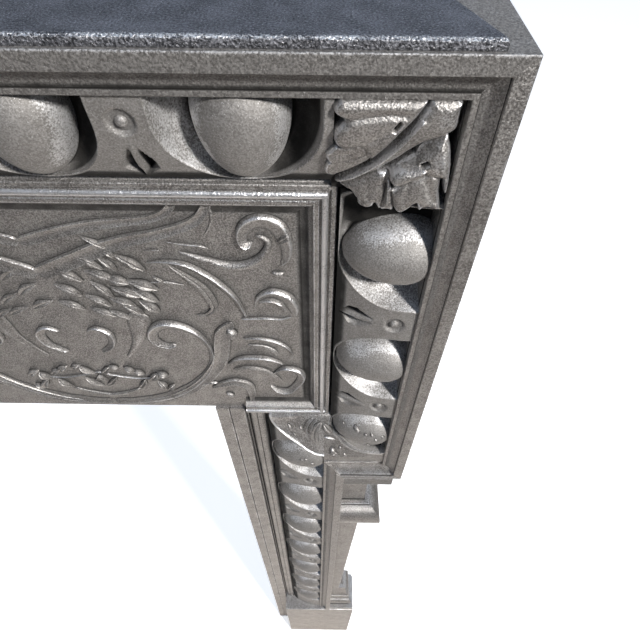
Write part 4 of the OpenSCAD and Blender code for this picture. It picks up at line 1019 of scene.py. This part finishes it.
def carved_block(name, w, h, v, painted_black=0.0, lighter=0.0):
    """A block whose front is the surface v over the grid w by h and whose back is flat.
    Its hollows are darkened with blacking and painted shade and its crests are polished; painted_black adds
    painted black and lighter adds brightness, by place."""
    step = abs(w[0, 1] - w[0, 0])
    near, far = [blurred(v, max(1, int(round(r / step)))) - v for r in (0.5, 1.6)]
    # Hollows are darkened by how far the surface lies below its blur, blacking and painted shade together.
    blacking_and_shade = np.clip(np.maximum(-far / 1.9 - 0.2, -near / 0.7 - 0.3), 0, 1)
    wear_and_sheen = np.maximum(np.clip(near / 0.3 - 0.1, 0, 1.2), lighter) * (blacking_and_shade < 0.3)
    rows, cols = v.shape
    points = [at(*q) for q in zip(w.ravel(), h.ravel(), v.ravel())]
    faces = [(j * cols + i, j * cols + i + 1, (j + 1) * cols + i + 1, (j + 1) * cols + i)
             for j in range(rows - 1) for i in range(cols - 1)]
    o = shaped(name, points, faces, wear_and_sheen.ravel(), np.maximum(blacking_and_shade, painted_black).ravel())
    close_back(o)
    bpy.ops.object.shade_smooth_by_angle(angle=math.radians(60))
    return o


def lobes_over(w, h, lobes, scores):
    """How far a leaf stands out. A lobe is (outline, rise, round of its edge, slope in w,
    slope in h); a score is (line, half width, depth), a ridge where the depth is below 0."""
    rise = np.full(w.shape, -1.0)
    for outline, top, edge, slope_w, slope_h in lobes:
        curve = closed_curve(outline)
        far, inside = to_line(w, h, curve, True)
        lift = top * np.sqrt(np.clip(1 - (1 - np.clip(far / edge, 0, 1)) ** 2, 0.03, 1))
        mid = np.mean(outline, axis=0)
        lift += slope_w * (w - mid[0]) + slope_h * (h - mid[1])
        rise = np.where(inside, np.maximum(rise, lift), rise)
    for line, half, depth in scores:
        far, _ = to_line(w, h, line, False)
        rise = np.where(rise > -1, rise - depth * np.exp(-(far / half) ** 2), rise)
    return rise


LEAF_STEP, LEAF_W, LEAF_H = 0.25, 59.0, 57.5
leaf_w, leaf_h = np.meshgrid(np.arange(FRAME_W, LEAF_W + 0.01, LEAF_STEP),
                             np.arange(FRAME_W, LEAF_H + 0.01, LEAF_STEP))
leaf_lobes = [
    ([
        (26.2, 14.3), (22.1, 14), (17.1, 14.8), (17.1, 17.3), (17.1, 19.8), (17.2, 23.1), (19.3, 25.2),
        (21.7, 26.7), (24, 27.7), (26.8, 29.4), (30.1, 32.1), (32.9, 35.2), (37, 39.2), (40.1, 42.1),
        (44.6, 45.7), (49.2, 49.9), (53.5, 49.8), (47.5, 44.5), (43.9, 41.3), (39.9, 36.9), (37.1, 33.5),
        (33.8, 29.1), (31.8, 25.9), (29.6, 21.8), (27.9, 18.1), (26.7, 16.1)], 3.4, 3.5, 0.0, 0.0),
    ([
        (26.8, 14.4), (29.4, 14.0), (35.3, 14.0), (41.1, 14.0), (50, 14.0), (52.9, 14.3), (54.3, 15.9),
        (54.8, 17.6), (54.2, 19.1), (52.5, 20.4), (51.6, 21.4), (52.9, 22.9), (54.1, 24.7), (54.5, 27),
        (54.2, 29), (52.9, 30.9), (50.6, 31.9), (48, 31.5), (45.8, 30.9), (44.5, 31.8), (43.1, 34.1),
        (41.5, 36), (37.9, 31.7), (33.7, 25.5), (30.4, 21.1), (28.7, 18.4)], 3.6, 3.0, 0.0, 0.02),
    ([
        (57, 34.6), (55.6, 32.5), (53.9, 30.7), (50.9, 30.5), (48, 30.0), (45.8, 29.3), (43.5, 31),
        (43.2, 34.1), (46, 36.1), (50.3, 38.2), (54.6, 38.9), (56.3, 37.3)], 2.6, 1.8, 0.0, 0.04),
    ([
        (57.3, 41.6), (56.6, 39.1), (54.6, 37.9), (50.3, 37.2), (46, 35.1), (43.2, 33.1), (40.9, 33.8),
        (42.6, 37.5), (45.7, 40.8), (49.9, 43.9), (53.4, 45.9), (56.2, 45.3),
        (57.2, 43.4)], 2.0, 1.6, 0.0, 0.02),
    ([
        (19.3, 25.3), (18.4, 27.6), (17.4, 30.7), (16.5, 35.5), (16.1, 39.3), (15.9, 42.4), (15.9, 45.7),
        (16.5, 46.2), (17.3, 43.3), (18.1, 40.9), (21.2, 41.0), (24.1, 40.4), (26.8, 38.4), (28.2, 35.6),
        (28.0, 32.3), (26.3, 29.8), (23.9, 27.7), (21.7, 26.2)], 3.9, 4.5, -0.16, 0.05),
    ([
        (32.4, 45.8), (31.1, 44.0), (28, 41.6), (24.9, 40.2), (21.9, 38.6), (18.6, 40), (18.2, 43.8),
        (17.7, 47.5), (16.5, 52.2), (19.4, 52), (21.9, 51.9), (23.5, 53.0), (24.6, 51.0), (25.5, 51),
        (27.3, 52.7), (29.9, 54.2), (31.9, 53.4), (33.3, 50.1), (33.8, 47.7)], 3.0, 3.4, 0.08, 0.0),
    ([
        (51.5, 51.2), (44.6, 45.2), (40, 41.8), (36.7, 41.4), (35.8, 42.5), (36, 45.8), (36, 48.8),
        (36.8, 54.2), (37.9, 54), (38.9, 53), (39.7, 54.3), (41.6, 55.4), (43.7, 55.4), (44.7, 54.9),
        (45.1, 53.4), (45.8, 53), (47.6, 53.2), (49.5, 52.9)], 2.8, 3.2, -0.03, 0.0),
    ([
        (36.9, 41.4), (34.7, 41.6), (34.5, 45.1), (33.6, 48.2), (32.4, 53.6), (34.8, 54.1), (36.9, 54.3),
        (36.3, 48.8), (36.2, 45.8)], 2.0, 1.6, 0.0, 0.0),
    ([
        (35.3, 40), (33.8, 38.8), (31.9, 37.9), (28.7, 37.4), (26.3, 36.7), (24.4, 36.4), (22.8, 37.8),
        (23.8, 39.8), (25.5, 41.3), (28, 42.6), (31.1, 44.6), (33, 45.3), (34.6, 44.4),
        (35.5, 42.4)], 5.0, 2.6, 0.08, 0.05),
    ([
        (23, 30), (27.5, 33), (32.5, 37.5), (37, 42), (33, 43.5), (28, 40), (23, 37.5),
        (21, 33)], 1.3, 2.0, 0.0, 0.0),
]
leaf_scores = [
    ([
        (26.7, 14.3), (27.2, 16.5), (28.6, 19.1), (30.3, 21.8), (32, 24.4), (33.8, 26.7), (36.2, 30),
        (39, 33.5), (41.9, 37), (45.1, 39.7), (49, 42.6), (53.4, 45.6)], 0.6, 1.1),
    ([
        (27.9, 21.1), (29.8, 24.3), (31.8, 27.8), (34.1, 31.2), (36.9, 34.9), (40.4, 39), (43.8, 42.5),
        (47.4, 45.8), (51.5, 48.3)], 0.7, -0.9),
    ([(51.6, 21.4), (48.7, 20.4), (45.8, 19.6), (41.9, 19), (37.8, 18.6), (33.2, 18.9)], 1.3, 0.9),
    ([(44.5, 28.6), (40, 26.2), (36, 23.0)], 1.2, 0.5),
    ([(25, 30.4), (28.6, 33.6), (32.4, 37.2), (36.2, 40.4)], 1.6, 1.5),
    ([(34.6, 21.5), (35.8, 23.7)], 0.55, 3.0),
    ([(24, 35.2), (25.3, 36.4)], 0.6, 3.0),
    ([(35.4, 44.5), (35.2, 48.5), (35.0, 53)], 0.5, -1.2),
    ([(28.6, 44.6), (29.4, 48.4), (29, 52.6)], 1.0, 0.5),
    ([(42.6, 46.4), (41.7, 50.5), (41.5, 54)], 1.0, 0.5),
    ([(22.6, 42.6), (21.4, 46.6), (19.6, 51)], 1.1, 0.9),
    ([(49, 33.6), (53, 34.6), (56, 35)], 0.7, 0.4),
    ([(20.6, 29.6), (19.4, 34), (18.6, 38.6)], 1.2, -0.4),
]
leaf_lobes = [([(w, h + 0.32 * max(h - 46, 0) if w < 46 else h) for w, h in line], *rest)
              for line, *rest in leaf_lobes]
rise = lobes_over(leaf_w, leaf_h, leaf_lobes, leaf_scores)
web_v = band_face(np.clip(np.minimum(leaf_w, leaf_h) - FRAME_W, 0, FACE_W))
beyond = (leaf_w > BEAD_IN) | (leaf_h > BEAD_IN)
leaf_v = np.where(rise > -1, web_v - np.clip(rise, -0.5, 9), np.where(beyond, 25.5, 17.5))
# Two patches of the leaf are made lighter.
leaf_lighter = 1.05 * np.exp(-((leaf_w - 20.5) / 4) ** 2 - ((leaf_h - 34) / 6) ** 2)
leaf_lighter = np.maximum(leaf_lighter, 0.95 * np.exp(-((leaf_w - 21) / 5) ** 2 - ((leaf_h - 19) / 5) ** 2))
# Everything round the leaf's lobes is painted black, a painted shade in the gaps.
pair(carved_block("corner_acanthus", leaf_w, leaf_h, np.maximum(leaf_v, 0.6), rise <= -1, leaf_lighter),
     "corner_leaf")

# The ear leaf fills the crook of the ear: a dished shell that comes forward from under the
# frieze's frame to a fine raised rim, with small sprays on it and a smooth wing to its side.
LAST_EGG_W, LAST_EGG_H = 24.0, 235.1


def shell(w, h):
    """How deep the shell lies; over the ear's band it goes on as the wing."""
    down = float(np.clip((h - CROOK_H) / 36, 0, 1)) ** 0.8
    if w < BEAD_IN:
        return min(17.5 - 12 * down, float(band_face(w - FRAME_W))) - 0.3
    a = math.degrees(math.atan2(max(h - CROOK_H, 0.0), max(w - BEAD_IN, 1e-6)))
    t = min(math.hypot(w - BEAD_IN, max(h - CROOK_H, 0)) / fan_edge(a), 1.0)
    return 17.2 + (float(band_face(w - BEAD_IN)) - 17.5) * max(down, 0.9 * t ** 3)


RAYS, RINGS = 60, 44
shell_points, shell_wear_and_sheen = [], []
for j in range(RINGS + 1):
    t = (j / RINGS) ** 0.7
    rim = math.exp(-((t - 0.972) / 0.018) ** 2)
    for a in np.linspace(0, 90, RAYS + 1):
        w, h = from_crook(fan_edge(a) * t, a)
        shell_points.append(at(w, h, shell(w, h) - 0.8 * rim))
        # The shell is brightened all over with a painted sheen, and its rim most, by polish and painted
        # highlight.
        shell_wear_and_sheen.append(1.3 * rim + 0.8)
starts = [j * (RAYS + 1) + i for j in range(RINGS) for i in range(RAYS)]
shell_faces = [(a, a + 1, a + RAYS + 2, a + RAYS + 1) for a in starts]
dish = shaped("ear_leaf_shell", shell_points, shell_faces, shell_wear_and_sheen, 0)
bpy.ops.mesh.select_all(action="SELECT")
bpy.ops.mesh.remove_doubles(threshold=0.00001)
bpy.ops.mesh.extrude_region_move(TRANSFORM_OT_translate={"value": (0, 8 * MM, 0)})
face_outwards()
bpy.ops.object.mode_set(mode="OBJECT")
WING_STEP, WING_H = 0.3, 270.0
wing_w, wing_h = np.meshgrid(np.arange(FRAME_W, BEAD_IN + 0.2, WING_STEP),
                             np.arange(CROOK_H, WING_H + 0.1, WING_STEP))
wing_r = np.hypot(wing_w - LAST_EGG_W, wing_h - LAST_EGG_H)
wing_from = SOCKET_R - CLOSER * smooth(1.6 * (wing_h - LAST_EGG_H) / wing_r + 0.2) + 0.5
wing_v = np.where(wing_r > wing_from, np.vectorize(shell)(wing_w, wing_h), 25.5)
wing = carved_block("ear_leaf_wing", wing_w, wing_h, wing_v)
sprays = [
    ("round", [(77.9, 234.4, 1.2, 1), (76.8, 237.4, 2.6, 1.8), (76, 241.2, 1, 0.8)]),
    ("round", [(74.7, 243, 1, 0.8), (73.8, 244.6, 1.8, 1.2), (72.9, 246.3, 0.8, 0.6)]),
    ("round", [(70.6, 235.7, 1, 0.8), (69.8, 237.5, 2, 1.3), (69, 239.3, 0.8, 0.6)]),
    ("crest", [
        (62.2, 229, 1.4, 1), (65, 231.6, 2.2, 1.6), (66.8, 235.7, 2.6, 2), (66.6, 239.8, 2.4, 2),
        (65, 243, 1, 1)]),
    ("crest", [(59.8, 229.3, 1.4, 1), (62.5, 233, 2, 1.6), (63.8, 237, 2.4, 1.8), (64.4, 241.2, 1, 1)]),
    ("leaf", [
        (56.7, 232.1, 2, 1), (59.8, 236, 5, 2), (61.3, 240.9, 5.6, 2.4), (60.9, 246, 4.6, 2.2),
        (59, 249.3, 2, 1.2)]),
    ("leaf", [(55.2, 233.1, 1.4, 1.2), (53.3, 235.4, 4, 2.4), (50.8, 238.9, 3.6, 2.2), (49.5, 240.9, 1, 1)]),
    ("crest", [(55.3, 244, 1.6, 1.2), (51.6, 244.7, 3, 1.8), (47.1, 246.3, 1, 0.8)]),
    ("round", [(50.6, 253.6, 2.6, 2.2), (49, 255, 3.6, 3), (47.4, 256.4, 2.4, 2)]),
    ("leaf", [(44.8, 261.7, 1.4, 0.8), (48.1, 258.9, 3.6, 1.6), (50.9, 259.9, 1.4, 0.8)]),
    ("round", [(44.5, 252, 1, 0.8), (44.1, 253.6, 2, 1.3), (43.7, 255.1, 0.8, 0.6)]),
    ("round", [(41.7, 258.8, 1, 0.8), (40.5, 260.4, 2.2, 1.4), (39.3, 262, 0.8, 0.6)]),
]


def egg_at(mid_w, mid_h):
    """The front of an egg, as a surface to lay strokes on."""
    def surface(w, h):
        return EGG_AXIS - math.sqrt(max(float(egg_radius(w - mid_w)) ** 2 - (h - mid_h) ** 2, 0.0))
    return surface


on_ear_egg = [
    ("round", [(36.6, 224.6, 1.6, 1), (35, 225.8, 2.8, 1.6), (32.7, 227.5, 1.6, 1)]),
    ("round", [(30.2, 227.6, 1.4, 1), (28.2, 228.7, 2.4, 1.4)]),
    ("round", [(25.8, 226.7, 1.4, 1), (25.1, 229.1, 2.2, 1.3)]),
    ("round", [(23, 231.2, 1.2, 0.8), (21.9, 233.5, 1.8, 1.1)]),
    ("round", [(19, 229.5, 1.2, 0.8), (17, 232.8, 2, 1.2)]),
    ("round", [(27.8, 238.8, 1.4, 1), (25.6, 241, 2, 1.2)]),
    ("round", [(43.7, 226.8, 1.2, 0.8), (42.4, 227, 1.8, 1.1)]),
]
on_leg_egg = [
    ("round", [(70.9, 265.1, 1.2, 0.8), (69, 266.3, 2.2, 1.3)]),
    ("round", [(67.7, 264.5, 1, 0.7), (66, 265.4, 1.6, 1)]),
    ("round", [(63.5, 268, 1, 0.7), (61.2, 270, 1.8, 1.1)]),
]
sprigs = [carving("sprigs_on_ear_egg", on_ear_egg, egg_at(LAST_EGG_W, LAST_EGG_H), step=0.6),
          carving("sprigs_on_leg_egg", on_leg_egg, egg_at(64.0, 271.8), step=0.6)]
ear_leaf = carving("ear_leaf_sprays", sprays, shell, step=0.6)
hold(ear_leaf, dish, wing, *sprigs)
bpy.ops.object.join()
pair(ear_leaf, "ear_leaf")

# Plates, straps, lugs and screws behind the front are left as cast and dull. They are
# the solids of the frame themselves, and get only their finish.
raw = iron_material("raw_iron", (0.05, 0.047, 0.044), (0.11, 0.1, 0.095), 0.62, 0.6, wear_and_sheen=0.1, blacking_and_shade=0.0)
steel = iron_material("screw_steel", (0.2, 0.2, 0.2), (0.38, 0.37, 0.36), 0.4, 0.15, wear_and_sheen=0.2, blacking_and_shade=0.1)
plain = iron_material("plain_iron", (0.2, 0.185, 0.17), (0.38, 0.355, 0.33), wear_and_sheen=0.05, blacking_and_shade=0.0)
kept = dict.fromkeys(("head_plate", "leg_plate_left", "leg_plate_right", "joint_strap_left",
                      "joint_strap_right", "wall_lug_left", "wall_lug_right"), raw)
kept.update(dict.fromkeys(("strap_screws", "rail_screws"), steel))
for name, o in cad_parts.items():
    finish = kept.get(name, plain)
    for i in range(max(1, len(o.data.materials))):
        if len(o.data.materials) <= i:
            o.data.materials.append(finish)
        else:
            o.data.materials[i] = finish

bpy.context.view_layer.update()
